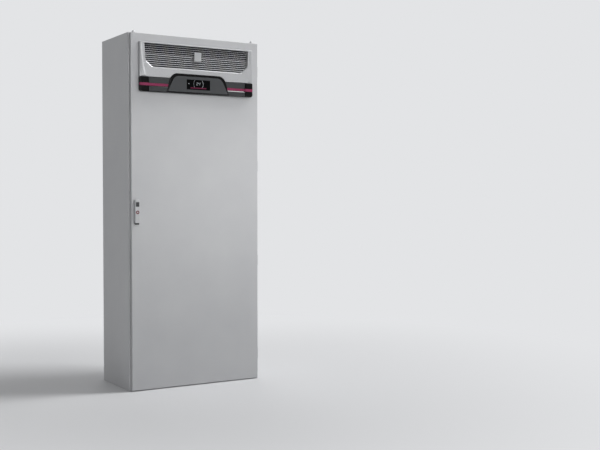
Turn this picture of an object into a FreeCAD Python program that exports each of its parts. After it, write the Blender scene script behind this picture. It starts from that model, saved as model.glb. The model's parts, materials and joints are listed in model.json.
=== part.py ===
import FreeCAD, Part
import os
import re
import Sketcher
from FreeCAD import Placement, Rotation, Vector

# A free-standing sheet steel enclosure with a cooling unit behind the top of its door.
# Millimetres. x runs to the right seen from the front, y to the back, z up from the floor;
# the origin is the middle of the frame's footprint.

SIZES = {
    # How far cutting shapes reach past what they cut
    "overcut": 1,
    # Frame of folded posts and square rails
    "frame_width": 800,
    "frame_depth": 400,
    "frame_height": 1988,
    "post_leg": 40,
    "post_width": 24,
    "post_wall": 2,
    "rail_height": 40,
    "base_height": 45,
    "rail_wall": 2,
    "anchor_radius": 6.75,
    "anchor_inset": 60,
    "floor_sheet": 1.5,
    "floor_split": 6,
    # Flat parts round the frame
    "panel_sheet": 1.5,
    "panel_gap": 0.5,
    "side_proud": 9,
    "side_bend": 5,
    "rear_proud": 11,
    "screw_radius": 4,
    "screw_head": 2,
    "screw_inset": 17,
    "screw_end": 88,
    "roof_height": 12,
    "roof_sheet": 2,
    "roof_bolt_radius": 10,
    "roof_bolt_tip": 3.5,
    "roof_bolt_height": 15,
    "roof_bolt_inset": 28,
    "vent_width": 360,
    "vent_depth": 130,
    "vent_rim": 12,
    "vent_plate": 1.5,
    "vent_slots": 12,
    "vent_bar": 6,
    # Equipment mounting plate
    "plate_lap": 12,
    "plate_sheet": 2.5,
    "plate_bottom": 80,
    "plate_height": 1280,
    # Door
    "door_depth": 15,
    "door_gap": 3.6,
    "door_clear": 1,
    "door_bottom": 5,
    "door_drop": 3,
    "door_sheet": 1.5,
    "door_lip": 25,
    "door_edge": 3,
    "seal_width": 8,
    "seal_inset": 15,
    "running_gap": 0.3,
    "stiffener_inset": 59,
    "stiffener_width": 20,
    "stiffener_bottom": 60,
    "stiffener_top_gap": 360,
    # Hinges in the joint between door and side panel
    "hinge_reach": 3.5,
    "hinge_setback": 13.5,
    "hinge_first": 150,
    "hinge_pitch": 560,
    "hinge_count": 4,
    "hinge_height": 60,
    "hinge_leaf": 1.5,
    "hinge_leaf_width": 12,
    "knuckle_radius": 3,
    "hinge_pin_radius": 1.5,
    "bearing_play": 0.05,
    # Swing handle and lock
    "handle_inset": 29.5,
    "handle_pivot": 1067,
    "handle_width": 32,
    "handle_length": 151,
    "handle_over": 8,
    "handle_base": 4,
    "handle_round": 9,
    "hub_radius": 12,
    "hub_disc": 1.2,
    "lug_width": 10,
    "lug_radius": 3.5,
    "lever_width": 30,
    "lever_thick": 11,
    "lever_air": 2,
    "lever_rise": 18,
    "lever_tip": 7,
    "lever_edge": 3,
    "lever_skin": 1.6,
    "lever_taper": 28,
    "lever_slot_drop": 8.75,
    "lever_pin_length": 26,
    "lever_pin_radius": 1.5,
    "spindle_radius": 5,
    "spindle_length": 10.5,
    "spindle_room": 1,
    "lock_drop": 65,
    "lock_radius": 8,
    "lock_proud": 0.4,
    "lock_ring": 10.5,
    "key_width": 1.8,
    "key_height": 9,
    "key_depth": 4,
    "pinion_pitch": 12,
    "pinion_back": 0.4,
    "pinion_thick": 5,
    "pinion_setback": 4.5,
    "rod_width": 6,
    "rod_thick": 4,
    "rod_setback": 5,
    "rod_tail": 20,
    "rod_end": 20,
    "case_width": 44,
    "case_height": 90,
    "case_wall": 1.5,
    "guide_width": 14,
    "guide_height": 16,
    "guide_end": 90,
    "guide_middle": 380,
    # Fascia of the cooling unit on the door
    "fascia_width": 708,
    "fascia_height": 276,
    "fascia_drop": 50,
    "fascia_depth": 22,
    "fascia_top_depth": 20,
    "fascia_side_depth": 15,
    "fascia_lean": 95,
    "fascia_flank_top": 5,
    "fascia_flank_bottom": 34,
    "fascia_wall": 3,
    "band_height": 83,
    "cap_width": 52,
    "cap_round": 14,
    "cap_edge": 5,
    "accent_height": 15,
    "accent_rise": 40.5,
    "accent_depth": 1.5,
    "accent_recess": 0.5,
    "accent_start": 205,
    "accent_end": 6,
    # Louvred air inlet
    "grille_width": 652,
    "grille_height": 129,
    "grille_drop": 7,
    "grille_taper": 6,
    "grille_corner_width": 41,
    "grille_corner_height": 35,
    "grille_corner_share": 0.4,
    "grille_rim": 3,
    "louvre_front": 14,
    "louvre_back": 7,
    "louvre_rise": 5,
    "louvre_thick": 2.4,
    "louvre_pitch": 11.2,
    "louvre_count": 11,
    "louvre_first": 4,
    "badge_width": 44,
    "badge_height": 51,
    "badge_drop": 64,
    "badge_thick": 6,
    "badge_round": 4,
    "intake_width": 580,
    "intake_height": 100,
    "intake_drop": 63,
    "mat_margin": 45,
    # Display pod on the band
    "pod_base": 394,
    "pod_top": 330,
    "pod_height": 110,
    "pod_lift": 2,
    "pod_thick": 5,
    "pod_round": 50,
    "face_base": 380,
    "face_top": 290,
    "face_height": 91,
    "face_lift": 4,
    "face_thick": 1.5,
    "face_round": 42,
    "screen_width": 147,
    "screen_height": 57,
    "screen_rise": 24,
    "screen_thick": 0.8,
    "screen_round": 4,
    # Cooling unit inside the frame
    "cooler_clear": 20,
    "cooler_depth": 240,
    "cooler_setback": 28,
    "cooler_drop": 56,
    "cooler_height": 520,
    "cooler_sheet": 1.5,
    "support_width": 30,
    "support_height": 24,
    "condenser_room": 280,
    "partition_sheet": 1.5,
    "collar_margin": 8,
    "collar_wall": 2,
    "coil_depth": 45,
    "condenser_margin": 10,
    "condenser_height": 240,
    "evaporator_width": 520,
    "evaporator_height": 190,
    "coil_plate": 3,
    "coil_plate_over": 6,
    "tray_margin": 4,
    "tray_height": 22,
    "tray_wall": 1.5,
    "cold_in_margin": 20,
    "cold_in_rise": 32,
    "cold_out_back": 40,
    "cold_out_depth": 80,
    "plenum": 34,
    "shroud_sheet": 2,
    "shroud_radius": 118,
    "shroud_collar": 40,
    "fan_radius": 112,
    "fan_hub": 40,
    "fan_hub_depth": 34,
    "fan_blades": 5,
    "fan_chord_root": 46,
    "fan_chord_tip": 58,
    "fan_pitch_root": 42,
    "fan_pitch_tip": 24,
    "fan_blade_thick": 3,
    "fan_blade_sink": 6,
    "shaft_radius": 5,
    "motor_gap": 3,
    "motor_radius": 44,
    "motor_depth": 48,
    "motor_arm": 14,
    "motor_arm_thick": 4,
    "blower_offset": 70,
    "blower_radius": 92,
    "blower_eye": 58,
    "blower_depth": 62,
    "blower_disc": 3,
    "blower_hub": 22,
    "blower_blades": 7,
    "blower_blade_thick": 3,
    "blower_blade_start": 59,
    "blower_blade_length": 35,
    "blower_lean": 38,
    "blower_motor_depth": 46,
    "blower_motor_radius": 38,
    "compressor_side": 119.5,
    "compressor_back": 60,
    "compressor_radius": 52,
    "compressor_height": 150,
    "compressor_round": 20,
    "compressor_dome": 30,
    "compressor_crown": 24,
    "foot_radius": 9,
    "foot_height": 12,
    "foot_spread": 15,
    "port_offset": 15,
    "pipe_radius": 5,
    "pipe_bend": 20,
    "pipe_rise": 34,
    "suction_rise": 22,
    "pipe_hole": 9,
    "drier_radius": 16,
    "drier_height": 90,
    "drier_clear": 28,
    "drier_back": 30,
    "drier_drop": 30,
    "valve_size": 26,
    "valve_drop": 36,
    "control_gap": 30.5,
    "control_depth": 150,
    "control_height": 150,
    "control_inset": 8,
    "control_round": 6,
}

doc = FreeCAD.newDocument("cooled_enclosure")
sheet = doc.addObject("Spreadsheet::Sheet", "Dims")
for row, (alias, size) in enumerate(SIZES.items(), 1):
    sheet.set(f"A{row}", alias)
    sheet.set(f"B{row}", str(size))
    sheet.setAlias(f"B{row}", alias)
doc.recompute()

TURN = {
    "x": Rotation(Vector(0, 1, 0), 90),
    "y": Rotation(Vector(1, 0, 0), -90),
    "z": Rotation(),
}
SUB_PARTS = []


def bound(text):
    """Put the sheet's name in front of every alias in an expression."""

    def name(word):
        return f"Dims.{word.group(0)}" if word.group(0) in SIZES else word.group(0)

    return re.sub(r"[a-z_]+", name, str(text))


def number(text):
    return float(sheet.evalExpression(bound(text)))


def count(text):
    return int(number(text))


def sub_part(label, solid):
    """Give a finished piece its own label and keep it for writing."""
    solid.Label = label
    SUB_PARTS.append(solid)
    return solid


def even(width):
    """A span of this width about zero."""
    return f"-({width})/2", f"({width})/2"


def about(middle, width):
    return f"({middle}) - ({width})/2", f"({middle}) + ({width})/2"


def sided(side, near, far):
    """A span from near to far, on the right (1) or mirrored to the left (-1)."""
    if side > 0:
        return f"({near})", f"({far})"
    return f"-({far})", f"-({near})"


def box(name, x, y, z):
    """A box that fills three spans, each a (low, high) pair of expressions."""
    solid = doc.addObject("Part::Box", name)
    for axis, length, (low, high) in zip("xyz", ("Length", "Width", "Height"), (x, y, z)):
        solid.setExpression(length, bound(f"({high}) - ({low})"))
        solid.setExpression(f"Placement.Base.{axis}", bound(low))
    return solid


def cylinder(name, axis, span, middle, radius):
    """A cylinder along an axis; middle holds its other two coordinates, in x, y, z order."""
    solid = doc.addObject("Part::Cylinder", name)
    solid.Placement = Placement(Vector(), TURN[axis])
    low, high = span
    solid.setExpression("Radius", bound(radius))
    solid.setExpression("Height", bound(f"({high}) - ({low})"))
    places = list(middle)
    places.insert("xyz".index(axis), low)
    for letter, place in zip("xyz", places):
        solid.setExpression(f"Placement.Base.{letter}", bound(place))
    return solid


def fuse(name, pieces):
    solid = doc.addObject("Part::MultiFuse", name)
    solid.Shapes = pieces
    return solid


def cut(name, base, tools):
    solid = doc.addObject("Part::Cut", name)
    solid.Base = base
    solid.Tool = tools[0] if len(tools) == 1 else fuse(f"{name}_tools", tools)
    return solid


def group(name, pieces):
    """Separate solids of one kind, kept together."""
    solid = doc.addObject("Part::Compound", name)
    solid.Links = pieces
    return solid


def body(name):
    return doc.addObject("PartDesign::Body", name)


def origin_feature(owner, role):
    return next(item for item in owner.Origin.OriginFeatures if item.Role == role)


def sketch_on(owner, plane, start):
    """An empty sketch on an origin plane, moved along the plane's own world axis to start."""
    sketch = owner.newObject("Sketcher::SketchObject", f"{owner.Name}_sketch")
    sketch.AttachmentSupport = [(origin_feature(owner, f"{plane}_Plane"), "")]
    sketch.MapMode = "FlatFace"
    offset = f"-({start})" if plane == "XZ" else start
    sketch.setExpression("AttachmentOffset.Base.z", bound(offset))
    return sketch


def bind(sketch, constraint, expression):
    index = sketch.addConstraint(constraint)
    sketch.setExpression(f"Constraints[{index}]", bound(expression))


def add_polygon(sketch, corners):
    """Close a polygon through corners, pairs of expressions that fix every corner."""
    first = sketch.GeometryCount
    points = [Vector(number(across), number(up), 0) for across, up in corners]
    edges = len(points)
    for step in range(edges):
        sketch.addGeometry(Part.LineSegment(points[step], points[(step + 1) % edges]), False)
    for step in range(edges):
        here, following = first + step, first + (step + 1) % edges
        sketch.addConstraint(Sketcher.Constraint("Coincident", here, 2, following, 1))
    for step, (across, up) in enumerate(corners):
        point = points[step]
        place = first + step
        bind(sketch, Sketcher.Constraint("DistanceX", -1, 1, place, 1, point.x), across)
        bind(sketch, Sketcher.Constraint("DistanceY", -1, 1, place, 1, point.y), up)


def add_circle(sketch, radius):
    """A circle about the sketch's own origin."""
    place = sketch.addGeometry(Part.Circle(Vector(), Vector(0, 0, 1), number(radius)), False)
    sketch.addConstraint(Sketcher.Constraint("Coincident", place, 3, -1, 1))
    bind(sketch, Sketcher.Constraint("Radius", place, number(radius)), radius)


def pad(owner, sketch, plane, length):
    feature = owner.newObject("PartDesign::Pad", f"{owner.Name}_pad")
    feature.Profile = sketch
    feature.Reversed = plane == "XZ"
    feature.setExpression("Length", bound(length))
    return feature


def prism(name, plane, outlines, span):
    """A body that carries closed outlines (the first outside, the rest holes) over a span."""
    owner = body(name)
    low, high = span
    sketch = sketch_on(owner, plane, low)
    for corners in outlines:
        add_polygon(sketch, corners)
    pad(owner, sketch, plane, f"({high}) - ({low})")
    return owner


def round_edges(owner, radius, chosen):
    """Fillet the edges of a body's last feature that chosen(middle, direction) picks."""
    doc.recompute()
    base = owner.Tip
    names = []
    for index, edge in enumerate(base.Shape.Edges, 1):
        start, end = edge.Vertexes[0].Point, edge.Vertexes[-1].Point
        if (end - start).Length > 0 and chosen((start + end) / 2, (end - start).normalize()):
            names.append(f"Edge{index}")
    fillet = owner.newObject("PartDesign::Fillet", f"{owner.Name}_fillet")
    fillet.Base = (base, names)
    fillet.setExpression("Radius", bound(radius))
    return owner


def along(direction, axis):
    return abs(getattr(direction, axis)) > 0.9


# Places that several pieces share
TOP = "(frame_height + roof_height)"
HALF_WIDTH = "(frame_width/2)"
FRONT = "(-frame_depth/2)"
BACK = "(frame_depth/2)"
DOOR_BACK = f"({FRONT} - door_gap)"
DOOR_FRONT = f"({DOOR_BACK} - door_depth)"
DOOR_INSIDE = f"({DOOR_FRONT} + door_sheet)"
LIP_FRONT = f"({DOOR_BACK} - door_sheet)"
HALF_DOOR = f"({HALF_WIDTH} - door_clear)"
DOOR_TOP = f"({TOP} - door_drop)"
HINGE_X = f"({HALF_WIDTH} + hinge_reach)"
HINGE_Y = f"({DOOR_FRONT} + hinge_setback)"
FASCIA_TOP = f"({TOP} - fascia_drop)"
FASCIA_BOTTOM = f"({FASCIA_TOP} - fascia_height)"
FASCIA_FRONT = f"({DOOR_FRONT} - fascia_depth)"
BAND_TOP = f"({FASCIA_BOTTOM} + band_height)"
GRILLE_TOP = f"({FASCIA_TOP} - grille_drop)"
INTAKE = (
    f"({FASCIA_TOP} - intake_drop - intake_height/2)", f"({FASCIA_TOP} - intake_drop + intake_height/2)"
)
HANDLE_X = f"(-{HALF_DOOR} + handle_inset)"
LEVER_BACK = f"({DOOR_FRONT} - handle_base - lever_air)"
LEVER_FRONT = f"({LEVER_BACK} - lever_thick)"
PIVOT_Y = f"({LEVER_BACK} - lever_thick/2)"
COOLER_TOP = f"({TOP} - cooler_drop)"
COOLER_BOTTOM = f"({COOLER_TOP} - cooler_height)"
COOLER_FRONT = f"({FRONT} + cooler_setback)"
COOLER_BACK = f"({COOLER_FRONT} + cooler_depth)"
COOLER_WIDTH = "(frame_width - 2*post_width - 2*cooler_clear)"
COOLER_INNER = f"({COOLER_WIDTH} - 2*cooler_sheet)"
COOLER_FLOOR = f"({COOLER_BOTTOM} + cooler_sheet)"
PARTITION_TOP = f"({COOLER_TOP} - condenser_room)"
COIL_FRONT = f"({COOLER_FRONT} + cooler_sheet)"
COIL_BACK = f"({COIL_FRONT} + coil_depth)"
VENT = (even("vent_width"), even("vent_depth"))
EVAPORATOR_FRONT = f"({COIL_FRONT} + tray_wall + tray_margin)"
SHROUD_FRONT = f"({COIL_BACK} + plenum)"
SHROUD_BACK = f"({SHROUD_FRONT} + shroud_sheet)"
COLLAR_BACK = f"({SHROUD_BACK} + shroud_collar)"
FAN_MIDDLE = f"({SHROUD_BACK} + shroud_collar/2)"
FAN_BACK = f"({FAN_MIDDLE} + fan_hub_depth/2)"
FAN_Z = f"({PARTITION_TOP} + (condenser_room - cooler_sheet)/2)"
BLOWER_BACK = f"({COOLER_BACK} - cooler_sheet - blower_motor_depth - motor_gap)"
BLOWER_FRONT = f"({BLOWER_BACK} - blower_depth)"
BLOWER_Z = f"(({COOLER_FLOOR} + {PARTITION_TOP} - partition_sheet)/2)"
COMPRESSOR_X = f"({COOLER_INNER}/2 - compressor_side)"
COMPRESSOR_Y = f"({COOLER_BACK} - compressor_back - compressor_radius)"
COMPRESSOR_FOOT = f"({COOLER_FLOOR} + foot_height)"
COMPRESSOR_TOP = f"({COMPRESSOR_FOOT} + compressor_height)"
DISCHARGE_X = f"({COMPRESSOR_X} - port_offset)"
SUCTION_X = f"({COMPRESSOR_X} + port_offset)"
PIPE_LEVEL = f"({PARTITION_TOP} + pipe_rise)"
DRIER_X = "(-blower_offset - blower_radius - drier_clear)"
DRIER_Y = f"({SHROUD_BACK} + drier_back)"
DRIER_FOOT = f"({PARTITION_TOP} - partition_sheet - drier_drop - drier_height)"
VALVE_Z = f"({DRIER_FOOT} - valve_drop)"


def post(name, side, end):
    """A corner post: an L of folded sheet, hollow, with its outer corner outwards."""

    def corner(across, along_depth):
        return f"{side}*({HALF_WIDTH} - ({across}))", f"{end}*({BACK} - ({along_depth}))"

    def angle(wall):
        leg, width = f"post_leg - ({wall})", f"post_width - ({wall})"
        places = [(wall, wall), (leg, wall), (leg, width), (width, width), (width, leg), (wall, leg)]
        return [corner(*place) for place in places]

    sub_part(name, prism(f"{name}_body", "XY", [angle("0"), angle("post_wall")], ("0", "frame_height")))


def square_tube(name, axis, x, y, z):
    """A rail: a box bored out along its axis, leaving rail_wall all round."""
    inner = []
    for letter, (low, high) in zip("xyz", (x, y, z)):
        inner.append((low, high) if letter == axis else (f"({low}) + rail_wall", f"({high}) - rail_wall"))
    return cut(name, box(f"{name}_outer", x, y, z), [box(f"{name}_bore", *inner)])


def rails(name, z):
    """Four rails between the posts at one height."""
    across = (f"-({HALF_WIDTH} - post_leg)", f"{HALF_WIDTH} - post_leg")
    deep = (f"{FRONT} + post_leg", f"{BACK} - post_leg")
    tubes = []
    for side, word in ((-1, "low"), (1, "high")):
        ends = sided(side, f"{BACK} - post_width", BACK)
        flanks = sided(side, f"{HALF_WIDTH} - post_width", HALF_WIDTH)
        tubes.append(square_tube(f"{name}_across_{word}", "x", across, ends, z))
        tubes.append(square_tube(f"{name}_deep_{word}", "y", flanks, deep, z))
    return tubes


def frame():
    for side, hand in ((-1, "left"), (1, "right")):
        post(f"post_front_{hand}", side, -1)
        post(f"post_rear_{hand}", side, 1)
    sub_part(
        "top_rails",
        group("top_rails_group", rails("top_rail", ("frame_height - rail_height", "frame_height"))),
    )
    tubes = rails("base_rail", ("0", "base_height"))
    through = ("-overcut", "base_height + overcut")
    for end, place in ((-1, 0), (1, 2)):
        holes = []
        for side in (-1, 1):
            middle = (f"{side}*({HALF_WIDTH} - anchor_inset)", f"{end}*({BACK} - post_width/2)")
            hole = f"anchor_{end + 1}_{side + 1}"
            holes.append(cylinder(hole, "z", through, middle, "anchor_radius"))
        tubes[place] = cut(f"base_rail_drilled_{end + 1}", tubes[place], holes)
    sub_part("base_rails", group("base_rails_group", tubes))
    deck = ("base_height", "base_height + floor_sheet")
    across = (f"-({HALF_WIDTH} - post_leg - panel_gap)", f"{HALF_WIDTH} - post_leg - panel_gap")
    plates = []
    for end in (-1, 1):
        plates.append(
            box(
                f"floor_plate_{end + 1}",
                across,
                sided(end, "floor_split/2", f"{BACK} - post_width/2"),
                deck,
            ),
        )
    sub_part("floor_plates", group("floor_plates_group", plates))


def side_panel(name, side):
    """A shallow tray whose long outer edges are bent round, open towards the frame."""
    outside = f"{HALF_WIDTH} + side_proud"
    inside = f"{outside} - panel_sheet"

    def tray(piece, reach, inset, radius):
        across = sided(side, HALF_WIDTH, reach)
        deep = (f"{FRONT} + {inset}", f"{BACK} + rear_proud - {inset}")
        corners = [(across[0], deep[0]), (across[1], deep[0]), (across[1], deep[1]), (across[0], deep[1])]
        solid = prism(piece, "XY", [corners], (f"panel_gap + {inset}", f"{TOP} - panel_gap - {inset}"))
        edge = side * number(reach)
        return round_edges(
            solid, radius, lambda middle, way: along(way, "z") and abs(middle.x - edge) < 0.01
        )

    outer = tray(f"{name}_outer", outside, "0", "side_bend")
    inner = tray(f"{name}_inner", inside, "panel_sheet", "side_bend - panel_sheet")
    sub_part(name, cut(f"{name}_tray", outer, [inner]))


def flat_parts():
    side_panel("side_panel_left", -1)
    side_panel("side_panel_right", 1)
    screws = []
    outside = f"{HALF_WIDTH} + side_proud"
    heights = ("screw_end", f"{TOP}/2", f"{TOP} - screw_end")
    for side in (-1, 1):
        for end in (f"{FRONT} + screw_inset", f"{BACK} + rear_proud - screw_inset"):
            for height in heights:
                head = sided(side, outside, f"{outside} + screw_head")
                screws.append(
                    cylinder(f"panel_screw_{len(screws)}", "x", head, (end, height), "screw_radius")
                )
    sub_part("panel_screws", group("panel_screws_group", screws))

    width = f"2*({HALF_WIDTH} - panel_gap)"
    rear = box(
        "rear_outer", even(width), (BACK, f"{BACK} + rear_proud"), ("panel_gap", f"{TOP} - panel_gap")
    )
    hollow = box(
        "rear_hollow",
        even(f"{width} - 2*panel_sheet"),
        (BACK, f"{BACK} + rear_proud - panel_sheet"),
        ("panel_gap + panel_sheet", f"{TOP} - panel_gap - panel_sheet"),
    )
    sub_part("rear_panel", cut("rear_tray", rear, [hollow]))

    roof = box("roof_outer", even(width), (FRONT, BACK), ("frame_height", TOP))
    hollow = box(
        "roof_hollow",
        even(f"{width} - 2*roof_sheet"),
        (f"{FRONT} + roof_sheet", f"{BACK} - roof_sheet"),
        ("frame_height", f"{TOP} - roof_sheet"),
    )
    opening = box("roof_opening", *VENT, ("frame_height", f"{TOP} + overcut"))
    sub_part("roof_plate", cut("roof_tray", roof, [hollow, opening]))

    grid = box(
        "vent_outer",
        even("vent_width + 2*vent_rim"),
        even("vent_depth + 2*vent_rim"),
        (TOP, f"{TOP} + vent_plate"),
    )
    slots = []
    for place in range(count("vent_slots")):
        low = f"-vent_width/2 + {place}*vent_width/vent_slots + vent_bar/2"
        across = (low, f"{low} + vent_width/vent_slots - vent_bar")
        slots.append(
            box(
                f"vent_slot_{place}",
                across,
                even("vent_depth - vent_bar"),
                (f"{TOP} - overcut", f"{TOP} + vent_plate + overcut"),
            ),
        )
    sub_part("roof_vent_grille", cut("vent_grid", grid, slots))

    bolts = []
    for side in (-1, 1):
        for end in (-1, 1):
            name = f"roof_bolt_{side + 1}_{end + 1}"
            middle = (f"{side}*({HALF_WIDTH} - roof_bolt_inset)", f"{end}*({BACK} - post_width/2)")
            bolt = doc.addObject("Part::Cone", name)
            bolt.setExpression("Radius1", bound("roof_bolt_radius"))
            bolt.setExpression("Radius2", bound("roof_bolt_tip"))
            bolt.setExpression("Height", bound("roof_bolt_height"))
            for letter, place in zip("xyz", (*middle, TOP)):
                bolt.setExpression(f"Placement.Base.{letter}", bound(place))
            bolts.append(bolt)
    sub_part("roof_bolts", group("roof_bolts_group", bolts))

    plate = box(
        "mounting_plate_sheet",
        even("frame_width - 2*post_leg + 2*plate_lap"),
        (f"{BACK} - post_width - plate_sheet", f"{BACK} - post_width"),
        ("plate_bottom", "plate_bottom + plate_height"),
    )
    sub_part("mounting_plate", plate)


def door():
    """A folded tray with a lip all round, open at the air inlet and for the lock spindle."""
    sides = [
        (f"-{HALF_DOOR}", "door_bottom"),
        (HALF_DOOR, "door_bottom"),
        (HALF_DOOR, DOOR_TOP),
        (f"-{HALF_DOOR}", DOOR_TOP),
    ]
    outer = prism("door_outer", "XZ", [sides], (DOOR_FRONT, DOOR_BACK))
    front = number(DOOR_FRONT)
    round_edges(outer, "door_edge", lambda middle, way: abs(middle.y - front) < 0.01)
    inner_width = f"2*({HALF_DOOR} - door_sheet)"
    height = ("door_bottom + door_sheet", f"{DOOR_TOP} - door_sheet")
    hollow = box("door_hollow", even(inner_width), (DOOR_INSIDE, LIP_FRONT), height)
    mouth = box(
        "door_mouth",
        even(f"2*({HALF_DOOR} - door_lip)"),
        (f"{LIP_FRONT} - overcut", f"{DOOR_BACK} + overcut"),
        ("door_bottom + door_lip", f"{DOOR_TOP} - door_lip"),
    )
    through = (f"{DOOR_FRONT} - overcut", f"{DOOR_INSIDE} + overcut")
    inlet = box("door_inlet", even("intake_width"), through, INTAKE)
    spindle_hole = cylinder(
        "door_spindle_hole", "y", through, (HANDLE_X, "handle_pivot"), "spindle_radius + spindle_room"
    )
    sub_part("door_skin", cut("door_tray", outer, [hollow, mouth, inlet, spindle_hole]))

    reach = f"{HALF_DOOR} - stiffener_inset"
    low, high = "stiffener_bottom", f"{DOOR_TOP} - stiffener_top_gap"
    room = (DOOR_INSIDE, LIP_FRONT)
    ring = box("stiffener_outer", even(f"2*({reach})"), room, (low, high))
    window = box(
        "stiffener_window",
        even(f"2*({reach} - stiffener_width)"),
        (f"{DOOR_INSIDE} - overcut", f"{LIP_FRONT} + overcut"),
        (f"{low} + stiffener_width", f"{high} - stiffener_width"),
    )
    sub_part("door_stiffener", cut("stiffener_ring", ring, [window]))

    reach = f"{HALF_DOOR} - seal_inset"
    low, high = "door_bottom + seal_inset", f"{DOOR_TOP} - seal_inset"
    room = (DOOR_BACK, f"{FRONT} - running_gap")
    ring = box("seal_outer", even(f"2*({reach})"), room, (low, high))
    window = box(
        "seal_window",
        even(f"2*({reach} - seal_width)"),
        (f"{DOOR_BACK} - overcut", FRONT),
        (f"{low} + seal_width", f"{high} - seal_width"),
    )
    sub_part("door_seal", cut("seal_ring", ring, [window]))


def hinges():
    """Slim barrel hinges: two knuckles on the frame, one on the door, a pin through all three."""
    frame_leaves, door_leaves, pins = [], [], []
    for place in range(count("hinge_count")):
        foot = f"hinge_first + {place}*hinge_pitch - hinge_height/2"
        head = f"{foot} + hinge_height"
        bore_span = (f"{foot} - overcut", f"{head} + overcut")
        bore = ("z", bore_span, (HINGE_X, HINGE_Y), "hinge_pin_radius + bearing_play")
        pieces = [
            box(
                f"frame_leaf_{place}",
                (f"{HALF_WIDTH} - hinge_leaf_width", HALF_WIDTH),
                (f"{FRONT} - hinge_leaf", FRONT),
                (foot, head),
            )
        ]
        for low in (foot, f"{foot} + 2*hinge_height/3"):
            span = (low, f"{low} + hinge_height/3")
            pieces.append(
                cylinder(
                    f"frame_knuckle_{len(pieces)}_{place}", "z", span, (HINGE_X, HINGE_Y), "knuckle_radius"
                ),
            )
            web = (f"{HALF_DOOR} + 2*running_gap", f"{HINGE_X} + knuckle_radius")
            pieces.append(box(f"frame_web_{len(pieces)}_{place}", web, (HINGE_Y, FRONT), span))
        solid = fuse(f"frame_leaf_joined_{place}", pieces)
        frame_leaves.append(
            cut(f"hinge_frame_leaf_{place}", solid, [cylinder(f"frame_bore_{place}", *bore)])
        )

        span = (f"{foot} + hinge_height/3 + running_gap", f"{foot} + 2*hinge_height/3 - running_gap")
        pieces = [
            cylinder(f"door_knuckle_{place}", "z", span, (HINGE_X, HINGE_Y), "knuckle_radius"),
            box(f"door_web_{place}", (HALF_DOOR, HINGE_X), (f"{HINGE_Y} - knuckle_radius", HINGE_Y), span),
            box(
                f"door_leaf_{place}",
                (HALF_DOOR, f"{HALF_DOOR} + hinge_leaf"),
                (f"{DOOR_FRONT} + door_edge", HINGE_Y),
                span,
            ),
        ]
        solid = fuse(f"door_leaf_joined_{place}", pieces)
        door_leaves.append(
            cut(f"hinge_door_leaf_{place}", solid, [cylinder(f"door_bore_{place}", *bore)])
        )
        pins.append(
            cylinder(f"hinge_pin_{place}", "z", (foot, head), (HINGE_X, HINGE_Y), "hinge_pin_radius")
        )
    sub_part("hinge_frame_leaves", group("hinge_frame_group", frame_leaves))
    sub_part("hinge_door_leaves", group("hinge_door_group", door_leaves))
    sub_part("hinge_pins", group("hinge_pin_group", pins))


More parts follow.
